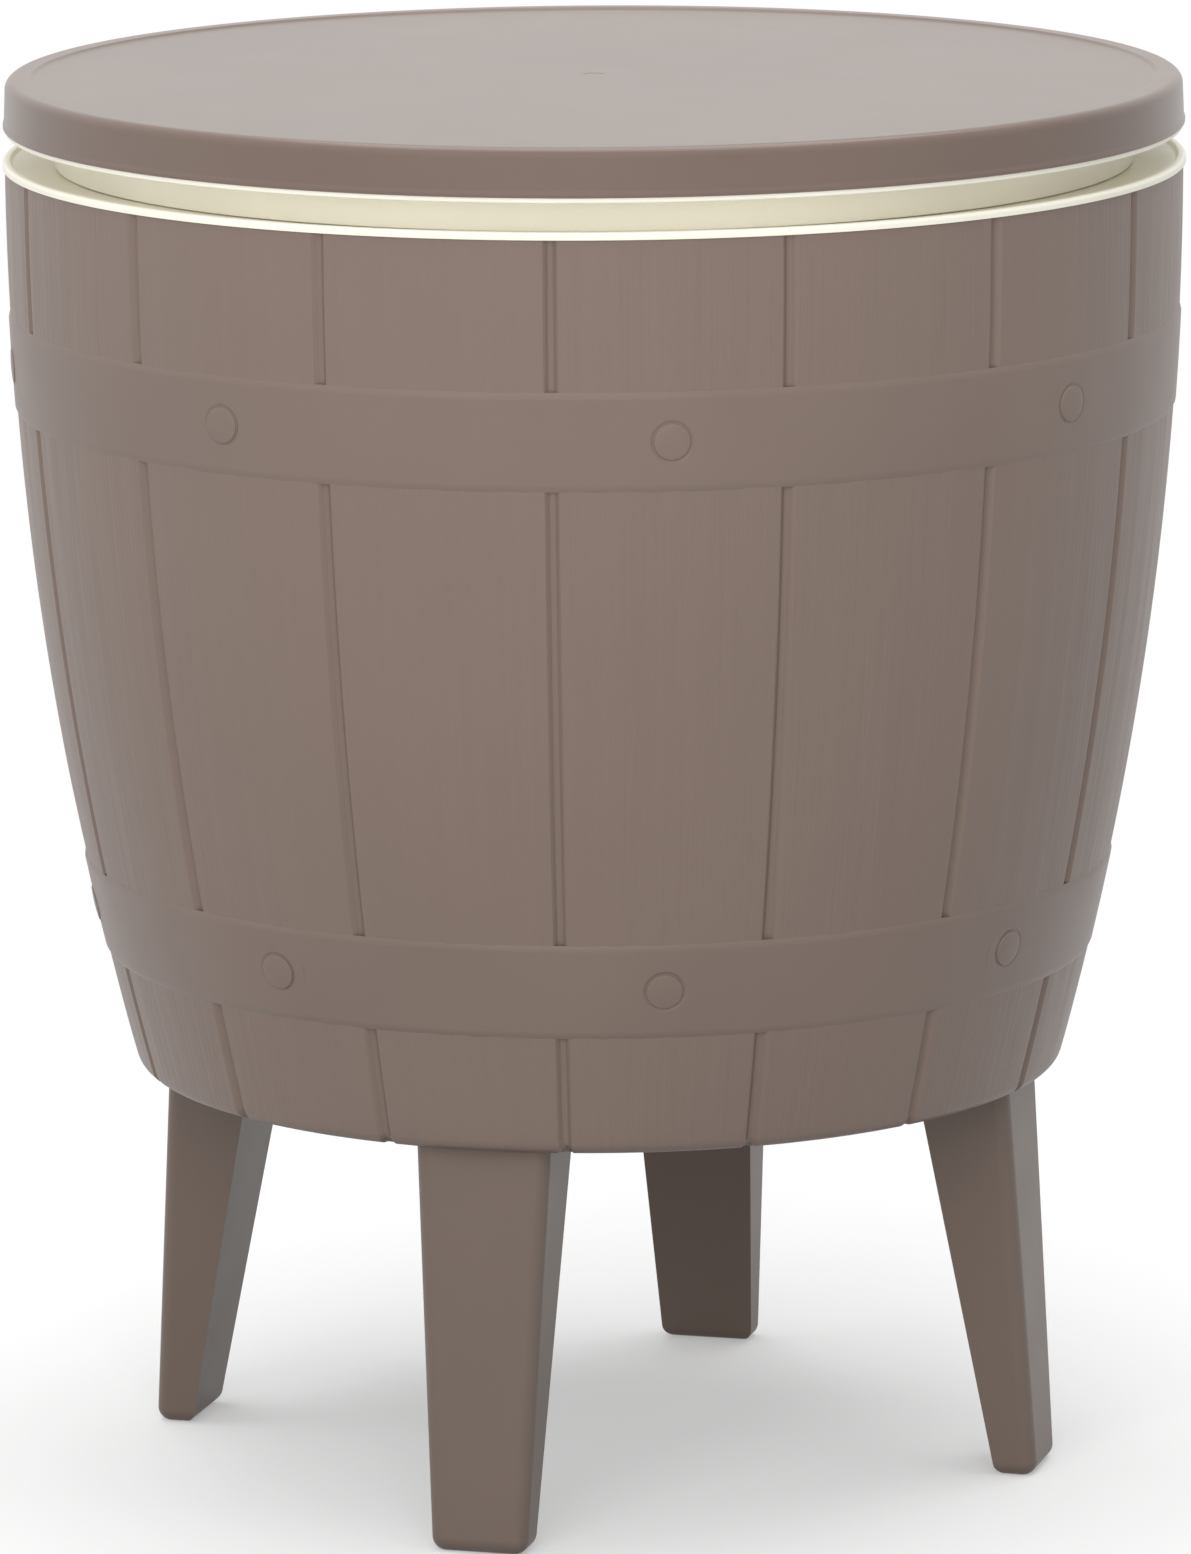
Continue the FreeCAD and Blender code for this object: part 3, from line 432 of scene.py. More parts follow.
def vector_of(start, x, y, z):
    return start.node("CombineXYZ", None, {"X": x, "Y": y, "Z": z})


def parts_of(vector):
    """The X, Y and Z of a vector, as three Values."""
    node = vector.node("SeparateXYZ", None, {"Vector": vector}).socket.node
    return [Value(vector.tree, socket) for socket in node.outputs]


def noise(start, place, scale, detail, roughness=0.5):
    """Noise from 0 to 1 with cells of about 1 / scale metres."""
    return start.node("TexNoise", None, {
        "Vector": place, "Scale": scale, "Detail": detail, "Roughness": roughness})


def shaded(start, colour, share):
    """A colour made darker or lighter: 0.5 in share leaves it as it is."""
    dark = [v * 0.9 for v in colour] + [1]
    light = [min(v * 1.1, 1) for v in colour] + [1]
    return start.node("Mix", {"data_type": "RGBA"},
                      {"Factor": share, "A": dark, "B": light}, out=2)


def bumped(start, height, distance):
    """Normal of a skin whose height of 0 to 1 stands for the distance in metres."""
    return start.node("Bump", None, {
        "Height": height, "Distance": distance, "Strength": 1.0})


def plastic_surface(start, colour, gloss, normal, share, level=0.5):
    """Principled plastic with its output."""
    skin = start.node("BsdfPrincipled", None, {
        "Base Color": shaded(start, colour, share), "Roughness": gloss,
        "Normal": normal, "IOR": 1.5, "Specular IOR Level": level})
    start.node("OutputMaterial", None, {"Surface": skin})


slots = {part["node"]: part["material_slot"] for part in frame["record"]["subparts"]}
print("slots in the record", sorted(set(slots.values())))

# %% Moulded plastic
cloud_scale = 9.0
wave_scale = 30.0
pebble_scale = 1400.0


def matt_plastic(colour, roughness, level=0.5, unevenness=0.08):
    """Spark-eroded moulding: cloudy colour, uneven gloss and a fine pebbled skin."""
    def build(start):
        place = object_place(start)
        cloud = noise(start, place, cloud_scale, 3.0)
        pebbles = noise(start, place, pebble_scale, 1.0)
        waves = noise(start, place, wave_scale, 2.0)
        gloss = roughness + (waves - 0.5) * unevenness
        height = pebbles + waves * 0.6
        plastic_surface(start, colour, gloss, bumped(start, height, 0.00004), cloud, level)
    return build


taupe = (0.197, 0.144, 0.119)
taupe_smooth = (0.190, 0.139, 0.115)
# Darker taupe for the table top: partly room for its glossier skin's reflection, partly
# painted shade on the skirt, which faces up into more light.
taupe_glossy_painted_shade = (0.165, 0.118, 0.096)
# Darker taupe for the legs: painted shade, standing for the shade that falls on them under
# the barrel.
taupe_painted_leg_shade = (0.152, 0.112, 0.091)
cream = (0.92, 0.88, 0.76)
taupe_plain = finished("taupe_plastic", "taupe_plastic", matt_plastic(taupe_smooth, 0.40))
taupe_top_painted_shade = finished("taupe_table_top_painted_shade", "taupe_plastic",
                     matt_plastic(taupe_glossy_painted_shade, 0.29, 0.44, unevenness=0.025))
taupe_leg_painted_shade = finished("taupe_leg_painted_shade", "taupe_plastic", matt_plastic(taupe_painted_leg_shade, 0.42))
cream_plain = finished("cream_plastic", "cream_plastic", matt_plastic(cream, 0.36))
print("made", [m.name for m in (taupe_plain, taupe_top_painted_shade, taupe_leg_painted_shade, cream_plain)])

# %% [markdown]
# The staves have a wood grain in the mould: fine upright streaks that follow each
# stave. The grain is noise that is stretched upward. To wrap it round the barrel with
# no seam, the noise is read at a point on a circle, not at an angle.

# %% Wood grain in the staves
streaks_round, streaks_up = 60, 5
hairs_round, hairs_up = 210, 9


def grained_plastic(colour, roughness):
    """Plastic with upright streaks: noise at (x, y) / r, so it never has a seam."""
    def build(start):
        place = object_place(start)
        x, y, z = parts_of(place)
        flat = vector_of(start, x, y, 0.0)
        circle = start.node("VectorMath", {"operation": "NORMALIZE"}, {0: flat})
        cx, cy, _ = parts_of(circle)
        broad = vector_of(start, cx * streaks_round, cy * streaks_round, z * streaks_up)
        fine = vector_of(start, cx * hairs_round, cy * hairs_round, z * hairs_up)
        streaks = noise(start, broad, 1.0, 3.0, 0.6)
        hairs = noise(start, fine, 1.0, 2.0, 0.6)
        pebbles = noise(start, place, pebble_scale, 1.0)
        cloud = noise(start, place, cloud_scale, 3.0)
        height = streaks * 0.7 + hairs * 0.45 + pebbles * 0.06
        gloss = roughness + (hairs - 0.5) * 0.1
        share = cloud * 0.5 + streaks * 0.35 + hairs * 0.15
        plastic_surface(start, colour, gloss, bumped(start, height, 0.0004), share)
    return build


taupe_grain = finished("taupe_wood_grain", "taupe_plastic", grained_plastic(taupe, 0.42))
print("made", taupe_grain.name)

# %% [markdown]
# Inside there are a satin aluminium pole, dark acetal bearing parts, stainless screws
# and soft rubber seals. Turned metal shows fine rings round its axis, so its roughness
# changes with height only.

# %% Metal and rubber
smudge_scale = 25.0


def turned_metal(colour, roughness, rings):
    """Metal with fine machining rings at different heights."""
    def build(start):
        place = object_place(start)
        height = parts_of(place)[2]
        lines = noise(start, vector_of(start, 0.0, 0.0, height), rings, 2.0)
        smudge = noise(start, place, smudge_scale, 3.0)
        gloss = roughness + (lines - 0.5) * 0.12 + (smudge - 0.5) * 0.08
        skin = start.node("BsdfPrincipled", None, {
            "Base Color": shaded(start, colour, smudge), "Metallic": 1.0,
            "Roughness": gloss, "Normal": bumped(start, lines, 0.00002)})
        start.node("OutputMaterial", None, {"Surface": skin})
    return build


aluminium = finished("satin_aluminium", "pole_aluminium",
                     turned_metal((0.72, 0.73, 0.74), 0.32, 3000.0))
steel = finished("screw_steel", "screw_steel",
                 turned_metal((0.60, 0.60, 0.59), 0.28, 4000.0))
acetal = finished("dark_acetal", "bearing_plastic", matt_plastic((0.03, 0.03, 0.033), 0.35))
drain_white = finished("drain_plastic", "drain_plastic",
                       matt_plastic((0.70, 0.68, 0.60), 0.36))
rubber = finished("seal_rubber", "seal_rubber", matt_plastic((0.045, 0.045, 0.045), 0.7))
finishes = {m["slot"]: m for m in (aluminium, steel, acetal, drain_white, rubber,
                                   cream_plain, taupe_plain)}
print("finishes", sorted(finishes))

# %% [markdown]
# ## CAD pieces that stay as they are
#
# Some pieces are exact enough in the CAD model: the legs, the seals, the drain, and the
# bush, the lock ring and the foot in the column. They keep their meshes and only get a
# finish, chosen by the slot that the record names for each node. Only the legs get a
# darker copy of the taupe, which is painted shade for the shade under the barrel.

# %% Finish for every CAD node


def paint(piece, material):
    """One material on the whole piece."""
    piece.data.materials.clear()
    piece.data.materials.append(material)


# The legs get the darker taupe, which is painted shade.
for node_name, node in frame["nodes"].items():
    paint(node, taupe_leg_painted_shade if node_name in legs else finishes[slots[node_name]])
print("painted", len(slots), "nodes")

# %% [markdown]
# ## The staved barrel
#
# The barrel is one large moulding. Its wall bows like an oak cask, sixteen staves are
# divided by shallow channels, and the face of each stave has the broad upright flutes
# of planed wood. A sculpted mesh could show that, but the wall is plainly a function of
# the height and the angle: a bowed section carried round the axis, pushed in along its
# normal at each channel and moved by a fifth of a millimetre in the flutes. Columns are
# crowded at the channels, where the shape changes, and spread out between them.

# %% Bowed section of the wall
bow_centre_r = rim_radius - bow_radius
wall = 0.003
bottom_round = 0.007
recess_depth = 0.006
recess_radius = 0.1844
land_inner = recess_radius - 0.0002
floor_top_z = barrel_z + recess_depth + wall
flutes_start, flutes_full, flutes_end = 0.004, 0.012, 0.004


def stave_radius(z, proud=0.0):
    """Radius of the wall at a height: bow centre + sqrt(bow radius^2 - drop^2)."""
    return bow_centre_r + np.sqrt((bow_radius + proud) ** 2 - (rim_z - z) ** 2)


def wall_section(bow_rows=66, round_rows=6):
    """Outer side of the wall from its bottom land to the rim, as points (r, z), their
    outward normals, and how much of the channel and of the flutes each row carries."""
    drop = rim_z - barrel_z - bottom_round
    flat_r = bow_centre_r + math.sqrt((bow_radius - bottom_round) ** 2 - drop ** 2)
    bow_start = math.atan2(-drop, flat_r - bow_centre_r)
    land = np.array([land_inner, flat_r - 0.0018, flat_r - 0.0006])
    bend = np.linspace(-math.pi / 2, bow_start, round_rows, endpoint=False)
    bow = np.linspace(bow_start, 0, bow_rows)
    angle = np.concatenate([np.full(len(land), -math.pi / 2), bend, bow])
    low_rows = len(land) + round_rows
    centre_r = np.concatenate([land, np.full(round_rows, flat_r),
                               np.full(bow_rows, bow_centre_r)])
    centre_z = np.concatenate([np.full(low_rows, barrel_z + bottom_round),
                               np.full(bow_rows, rim_z)])
    reach = np.concatenate([np.full(low_rows, bottom_round),
                            np.full(bow_rows, bow_radius)])
    normal = np.stack([np.cos(angle), np.sin(angle)], axis=1)
    points = np.stack([centre_r, centre_z], axis=1) + normal * reach[:, None]
    channel = np.concatenate([[0, 0, 0.7], np.ones(round_rows + bow_rows)])
    flutes = smoothstep((points[:, 1] - barrel_z - flutes_start) / flutes_full)
    flutes *= smoothstep((rim_z - points[:, 1]) / flutes_end)
    return points, normal, channel, flutes


section, section_normal, channel_share, flute_share = wall_section()
print("wall section has", len(section), "rows")

# %% Columns across a stave
face_start = 0.0036


def stave_columns(radius, between=46):
    """Distance across one stave from the middle of a channel, for each row: columns at
    fixed distances, two at each bend of the channel, and even ones on the stave's face."""
    edge = np.array([0.0, 0.00095, 0.00125, 0.00275, 0.00305])
    width = 2 * math.pi * radius / stave_count
    share = np.linspace(0, 1, between)[None]
    near = edge[None] + 0 * width
    face = face_start + (width - 2 * face_start) * share
    far = width - edge[None, :0:-1]
    return np.concatenate([near, face, far], axis=1), width


def smooth_noise(across, along, seed):
    """Random heights -1 to 1 on a grid of unit cells, joined by smoothstep both ways. The
    first index of across is the stave, so each stave has flutes of its own."""
    count = (across.shape[0], int(across.max()) + 2, int(along.max()) + 2)
    heights = np.random.default_rng(seed).uniform(-1, 1, count)
    stave = np.arange(count[0])[:, None, None]
    i, j = across.astype(int), along.astype(int)
    u, v = smoothstep(across - i), smoothstep(along - j)
    low = heights[stave, i, j] * (1 - u) + heights[stave, i + 1, j] * u
    high = heights[stave, i, j + 1] * (1 - u) + heights[stave, i + 1, j + 1] * u
    return low * (1 - v) + high * v


print("a stave is", round(2 * math.pi * rim_radius / stave_count, 4), "m wide at the rim")

# %% Staves with their channels and flutes
channel_half = 0.0029
channel_floor_half = 0.0011
channel_depth = 0.0021
plain_edge = 0.0032
flute_fade = 0.004
flute_height = 0.00022
flute_width = 0.008
fine_width = flute_width * 0.45
flute_length = 0.07


def barrel_staves():
    """Closed wall: point = section + normal * (flutes - channel), turned to its angle;
    then the rim and the plain inner side."""
    wall_r, wall_z = section.T[..., None]
    normal_r, normal_z = section_normal.T[..., None]
    across, width = stave_columns(wall_r)
    from_joint = np.minimum(across, width - across)
    slope = (channel_half - from_joint) / (channel_half - channel_floor_half)
    channel = channel_depth * np.clip(slope, 0, 1) * channel_share[:, None]
    staves = np.zeros((stave_count, 1, 1))
    up = (wall_z + 0 * across - barrel_z) / flute_length + staves
    broad = smooth_noise(across / flute_width + staves, up, 3)
    fine = smooth_noise(across / fine_width + staves, up * 1.6, 8)
    face = flute_share[:, None] * smoothstep((from_joint - plain_edge) / flute_fade)
    push = flute_height * face * (broad * 0.75 + fine * 0.35) - channel
    joint_turns = full_circle(stave_count) + math.pi / stave_count
    turn = across / wall_r + joint_turns[:, None, None]
    outer = at_turn(wall_r + normal_r * push, turn, wall_z + normal_z * push)
    outer = outer.transpose(1, 0, 2, 3).reshape(len(section), -1, 3)
    inner_z = np.linspace(rim_z, floor_top_z, 8)
    inner = np.stack([stave_radius(inner_z, -wall), inner_z], axis=1)
    inner = np.concatenate([inner, [[land_inner, barrel_z + recess_depth]]])
    angles = turn[:, -1].ravel()
    points = np.concatenate([outer, around(inner, angles)])
    return mesh_from("barrel_staves", points, grid_faces(*points.shape[:2], True, True))


dress(barrel_staves(), taupe_grain, "cooler", "barrel_shell")

# %% [markdown]
# ## Hoops and rivet heads
#
# Two flat bands stand less than a millimetre proud of the staves. Their upper edge is a
# bevel that catches the light, and their lower edge fades out. On every second stave a
# low rivet head sits in a fine ring. A boolean cut would leave ragged shading, so the
# band is dented a little where a rivet goes, and a round patch covers the dent. The patch
# is a polar grid bent to the band: rings round the rivet's middle carry its profile, and
# each ring follows the barrel's curve.

# %% Hoops
hoop_proud = 0.0008
hoop_root = -0.0026
upper_bevel = 0.0017
lower_bevel = 0.0018
hoops = [(rim_z - 0.0613, 0.0406), (rim_z - 0.2916, 0.0404)]  # upper edge, width
face_rows = 25
rivets_per_hoop = 8
patch_radius = 0.0140
dent_radius = 0.0110
dent_edge = 0.001
dent_depth = 0.0012
rivet_turns = full_circle(rivets_per_hoop) + math.pi / rivets_per_hoop


def hoop_band(top, width, near_columns=19, far_columns=12):
    """Closed band: its rows run down the face, then under the wall's surface. Near each
    rivet the face sinks by dent depth * smoothstep((dent radius - distance) / edge)."""
    face_z = np.linspace(top - upper_bevel, top - width + lower_bevel, face_rows)
    z = np.concatenate([[top, top], face_z, [top - width, top - width]])
    proud = np.concatenate([[hoop_root, 0], np.full(face_rows, hoop_proud), [0, hoop_root]])
    on_face = (proud > 0)[:, None, None]
    r = stave_radius(z, proud)[:, None, None]
    beside = np.linspace(-patch_radius, patch_radius, near_columns)
    pitch = 2 * math.pi * rim_radius / rivets_per_hoop
    far = np.linspace(patch_radius, pitch - patch_radius, far_columns)[1:-1]
    offset = np.concatenate([beside, far])[None, None]
    turn = offset / rim_radius + rivet_turns[None, :, None]
    distance = np.hypot(offset * r / rim_radius, (z - top + width / 2)[:, None, None])
    r = r - on_face * dent_depth * smoothstep((dent_radius - distance) / dent_edge)
    return at_turn(r, turn, z[:, None, None]).reshape(len(z), -1, 3)


def barrel_hoops():
    """Both bands in one mesh, rows turned so that the faces point outwards."""
    bands = [hoop_band(top, width)[::-1] for top, width in hoops]
    rows, columns = bands[0].shape[:2]
    faces = grid_faces(rows, columns, True, True)
    faces = np.concatenate([faces, faces + rows * columns])
    return mesh_from("barrel_hoops", np.stack(bands), faces, 30)


dress(barrel_hoops(), taupe_plain, "cooler", "barrel_shell")

# %% Rivet heads
# Rings from a rivet's middle out: radius and height above the band, in millimetres.
rivet_profile = np.array([
    (0.0, 0.80), (1.5, 0.79), (3.0, 0.745), (4.5, 0.67), (5.8, 0.575), (6.8, 0.48),
    (7.15, 0.42), (7.35, 0.30), (7.45, 0.12), (7.5, -0.15), (7.6, -0.33), (7.8, -0.37),
    (8.1, -0.35), (8.35, -0.24), (8.55, -0.08), (8.8, 0.0), (9.2, 0.03), (11.5, 0.03),
    (14.0, 0.02), (14.0, -1.0), (0.0, -1.0)]) / 1000


def hoop_rivets(spokes=48):
    """Sixteen round patches: around a rivet's middle, across = ring * cos, up = ring *
    sin, and height above the band from the profile; then bent to the barrel."""
    spoke = full_circle(spokes)
    ring, height = rivet_profile.T[..., None]
    across, up = ring * np.cos(spoke), ring * np.sin(spoke)
    height = height + 0 * across
    patches = []
    for top, width in hoops:
        middle = top - width / 2
        tilt = math.asin((rim_z - middle) / bow_radius)
        z = middle + up * math.cos(tilt)
        r = stave_radius(z, hoop_proud + height)
        z = z - height * math.sin(tilt)
        turn = across / stave_radius(middle) + rivet_turns[:, None, None]
        patches.append(at_turn(r, turn, z))
    points = np.concatenate(patches)
    rows, columns = points.shape[1:3]
    faces = grid_faces(rows, columns, False, True)[None]
    faces = faces + (np.arange(len(points)) * rows * columns)[:, None, None]
    return mesh_from("hoop_rivets", points, faces.reshape(-1, 4), 50)


dress(hoop_rivets(), taupe_plain, "cooler", "barrel_shell")

# %% [markdown]
# Under the barrel the moulding has a sunk floor with ribs, screw bosses and a pad for
# each leg. Those are flat faces and plain walls, so the CAD mesh is already right. A
# copy of it is merged, and only the faces inside the wall are kept.

# %% Underside of the barrel
above_land = 0.0005
off_wall = 0.0003
off_plane = 0.0001


def cad_patch(name, node, keep):
    """The triangles of a CAD node, merged, whose middle (r, z) passes the test keep."""
    source = frame["nodes"][node].data
    loose = np.empty(len(source.vertices) * 3)
    source.vertices.foreach_get("co", loose)
    corners = np.empty(len(source.loops), np.int32)
    source.loops.foreach_get("vertex_index", corners)
    spots, same = np.unique(np.round(loose.reshape(-1, 3), 6), axis=0, return_inverse=True)
    triangles = same.ravel()[corners].reshape(-1, 3)
    middle = spots[triangles].mean(axis=1)
    kept = triangles[keep(np.hypot(middle[:, 0], middle[:, 1]), middle[:, 2])]
    used, kept = np.unique(kept, return_inverse=True)
    return mesh_from(name, spots[used], kept.reshape(-1, 3), 30)


def inside_the_wall(r, z):
    """Within the barrel's inner side, and not in the lowest plane or on the land, which
    the leg pads and the dressed wall cover."""
    land = (r > land_inner) & (z < barrel_z + recess_depth + above_land)
    return (r < stave_radius(z) - wall - off_wall) & ~land & (z > barrel_z + off_plane)


dress(cad_patch("barrel_underside", "barrel_shell", inside_the_wall),
      taupe_plain, "cooler", "barrel_shell")

# %% [markdown]
# ## The table top
#
# The table top is one round moulding: a flat disc with a low raised rim, a soft edge and
# a skirt that ends in a small lip. A cylinder with a bevel would give the outline, but
# not the draft of the skirt or the hollow inside it. The true section turned about the
# axis gives all of it. Straight runs get extra points close to each corner, because
# smooth shading is blended between points and would otherwise bend the flat faces.

# %% Turned pieces


def filled(section, step=0.004, margin=0.0004):
    """The section with more points on its straight runs: one a margin from each end and
    even ones between, no more than a step apart."""
    points = [section[:1]]
    for start, end in zip(section[:-1], section[1:]):
        length = np.hypot(*(end - start))
        if length > 3 * margin:
            count = math.ceil((length - 2 * margin) / step) + 1
            share = np.linspace(margin, length - margin, count)[:, None] / length
            points.append(start + (end - start) * share)
        points.append(end[None])
    return np.concatenate(points)


def turned(name, corners, columns, step=0.004, loop=True):
    """Surface of revolution of an outline. A loop is joined to its own start, and a line
    that begins and ends on the axis closes at its two poles."""
    section = outline(corners)
    if loop:
        section = filled(np.concatenate([section, section[:1]]), step)[:-1]
    else:
        section = filled(section, step)
    points = around(section, full_circle(columns))
    return mesh_from(name, points, grid_faces(*points.shape[:2], loop, True))


print("a run of 20 mm gets", len(filled(np.array([(0, 0), (0.02, 0)]))), "points")

# %% Table top
tray_low, tray_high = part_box("lid_inner_shell")
top_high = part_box("tabletop_cover")[1]
upstand_height = 0.0055
skirt_z = tray_high.z - upstand_height
table_z = top_high.z
table_radius = top_high.x
table_edge = table_radius - 0.0012
table_wall = 0.003
skirt_draft = 0.0007
recess_z = table_z - 0.0008
table_under_z = recess_z - table_wall


def table_top():
    """From the middle of the underside out, down inside the skirt, up its outer side, over
    the raised rim and back to the middle, where the mould's gate left a shallow dimple."""
    inner = table_edge - table_wall
    rim_inner = table_edge - 0.010
    dimple_z = recess_z - 0.00015
    return turned("table_top", [
        (0, table_under_z),
        (inner, table_under_z, 0.002),
        (inner + skirt_draft, skirt_z),
        (table_radius, skirt_z, 0.0003),
        (table_radius, skirt_z + 0.0014, 0.001),
        (table_edge + skirt_draft, skirt_z + 0.0028, 0.001),
        (table_edge, table_z, 0.004),
        (rim_inner, table_z, 0.001),
        (rim_inner - 0.0015, recess_z, 0.002),
        (0.0048, recess_z, 0.0005),
        (0.0045, dimple_z, 0.0003),
        (0, dimple_z)], columns=384, loop=False)


dress(table_top(), taupe_top_painted_shade, "lid", "tabletop_cover")

# %% [markdown]
# ## Small parts that repeat round the axis
#
# Leg pads, ribs, screw bosses and screws come in fours and eights. Each could be placed
# by hand or with an Array modifier. Here one is made as an array of points, and a turned
# copy of that array is added for each place, which is short and can't drift.

# %% Copies round the axis


def prism(profile, width):
    """Block of a four-cornered profile (r, z), as wide as width across the X axis."""
    flat = np.array(profile)
    side = np.full(4, width / 2)
    points = np.concatenate([np.stack([flat[:, 0], y, flat[:, 1]], axis=1)
                             for y in (-side, side)])
    here = np.arange(4)
    after = (here + 1) % 4
    walls = np.stack([here, here + 4, after + 4, after], axis=1)
    return points, np.concatenate([[[0, 1, 2, 3], [7, 6, 5, 4]], walls])


def tube_mesh(inner, outer, low, high, columns=32):
    """Short upright tube: its section of four corners carried round."""
    section = np.array([(inner, low), (outer, low), (outer, high), (inner, high)])
    points = around(section, full_circle(columns)).reshape(-1, 3)
    return points, grid_faces(4, columns, True, True)


def copies_around(points, faces, radius, count, start=0.0):
    """The small mesh moved out by radius and turned about Z to count even places."""
    turn = math.radians(start) + full_circle(count)
    c, s = np.cos(turn)[:, None], np.sin(turn)[:, None]
    x, y = points[:, 0] + radius, points[:, 1]
    many = np.stack([x * c - y * s, x * s + y * c, points[:, 2] + 0 * c], axis=-1)
    shift = np.arange(count)[:, None, None] * len(points)
    return many.reshape(-1, 3), (faces + shift).reshape(-1, faces.shape[1])


def joined(name, parts, crease=30):
    """One mesh from several (points, faces)."""
    starts = np.cumsum([0] + [len(points) for points, _ in parts[:-1]])
    points = np.concatenate([points for points, _ in parts])
    faces = np.concatenate([faces + start for (_, faces), start in zip(parts, starts)])
    return mesh_from(name, points, faces, crease)


print("a block has", len(prism([(0, 0), (1, 0), (1, 1), (0, 1)], 1)[1]), "faces")

# %% [markdown]
# Each leg pushes against a raised pad under the barrel. In the CAD mesh the face of the
# pad and the land round the barrel's edge are one plane, and the dressed wall covers the
# land. So that plane was left out above, and a thin block with the pad's face stands in
# for it. The block lies a hair above the land, so that the two never flicker.

# %% Leg pads under the barrel
pad_inner = 0.1232
pad_outer = 0.1863
pad_width = 0.0602
pad_thickness = 0.0018
hair = 0.00005


def leg_pads():
    """Four blocks, at 0, 90, 180 and 270 degrees, a hair proud of the CAD pads."""
    low, high = barrel_z + hair, barrel_z + pad_thickness
    inner = pad_inner - hair
    pad = prism([(inner, low), (pad_outer, low), (pad_outer, high), (inner, high)],
                pad_width + hair)
    return joined("leg_pads", [copies_around(*pad, 0, len(legs))])


dress(leg_pads(), taupe_plain, "cooler", "barrel_shell")

# %% [markdown]
# Under the disc of the table top, eight ribs keep it flat, eight bosses take the screws
# of the cream tray, and four in the middle take those of the pole's socket.

# %% Ribs and bosses under the table top
rib_inner, rib_outer = 0.066, 0.211
rib_drop = 0.010
rib_width = 0.002
boss_bore, boss_radius = 0.002, 0.005
sunk = 0.0005
plug_radius = 0.217
tray_wall = 0.0025
lid_screw_circle = plug_radius - tray_wall - 0.0095
socket_screw_circle = 0.048


def table_top_ribs():
    """Eight ribs and twelve screw bosses, sunk half a millimetre into the disc."""
    high = table_under_z + sunk
    low = table_under_z - rib_drop
    rib = prism([(rib_inner, low), (rib_outer, low), (rib_outer, high), (rib_inner, high)],
                rib_width)
    boss = tube_mesh(boss_bore, boss_radius, tray_low.z + tray_wall, high)
    return joined("table_top_ribs", [
        copies_around(*rib, 0, 8),
        copies_around(*boss, lid_screw_circle, 8),
        copies_around(*boss, socket_screw_circle, 4, 45)])


dress(table_top_ribs(), taupe_plain, "lid", "tabletop_cover")

# %% [markdown]
# ## The cream tray under the table top
#
# The tray is the cream part in the gap under the table top: a lip under the skirt, an
# upright wall, and the plug that hangs into the tub. It is a thin shell all over, so its
# section goes out along one side and comes back along the other, a wall thickness away.

# %% Lid tray
mouth_radius = rim_radius - 0.0268
seat_z = rim_z + 0.0003
tray_wall_radius = mouth_radius + 0.006
hub_hole_radius = 0.0297


def lid_tray():
    """Loop from the upstand inside the skirt, in over the hidden side to the hub's hole,
    and out along the plug, the seat, the gap wall and the lip."""
    upstand = table_edge - table_wall - 0.0003
    lip = table_radius - 0.0011
    lip_z = skirt_z - 0.0023
    plug_z = tray_low.z
    return turned("lid_tray", [
        (upstand, skirt_z),
        (upstand, tray_high.z),
        (upstand - tray_wall, tray_high.z),
        (upstand - tray_wall, skirt_z),
        (tray_wall_radius - tray_wall, skirt_z),
        (tray_wall_radius - tray_wall, seat_z + tray_wall),
        (plug_radius - tray_wall, seat_z + tray_wall),
        (plug_radius - tray_wall, plug_z + tray_wall),
        (hub_hole_radius, plug_z + tray_wall),
        (hub_hole_radius, plug_z),
        (plug_radius, plug_z, 0.003),
        (plug_radius, seat_z),
        (tray_wall_radius, seat_z, 0.0008),
        (tray_wall_radius, lip_z, 0.0015),
        (lip, lip_z, 0.0008),
        (lip, skirt_z)], columns=384)


dress(lid_tray(), cream_plain, "lid", "lid_inner_shell")

# %% [markdown]
# ## The tub
#
# The tub is a deep cream moulding. A rounded bead covers the barrel's edge, a gutter
# slopes in to the mouth, and the wall tapers down to a wide corner and a flat floor. The
# turned surface stops where the flat floor starts. The floor has a hole for the drain
# and bosses for the screws, so its faces are kept from the CAD mesh.

# %% Tub
tub_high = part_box("cooler_liner")[1]
bead_radius = tub_high.x
tub_wall = 0.0025
tub_corner = 0.018
tub_floor_z = rim_z - 0.316
throat_z = rim_z - 0.020
tub_floor_radius = float(stave_radius(tub_floor_z)) - wall - 0.020 - tub_wall
tub_lean = math.atan2(mouth_radius - tub_floor_radius, throat_z - tub_floor_z)
tub_flat_radius = tub_floor_radius - tub_corner * math.tan((math.pi / 2 - tub_lean) / 2)


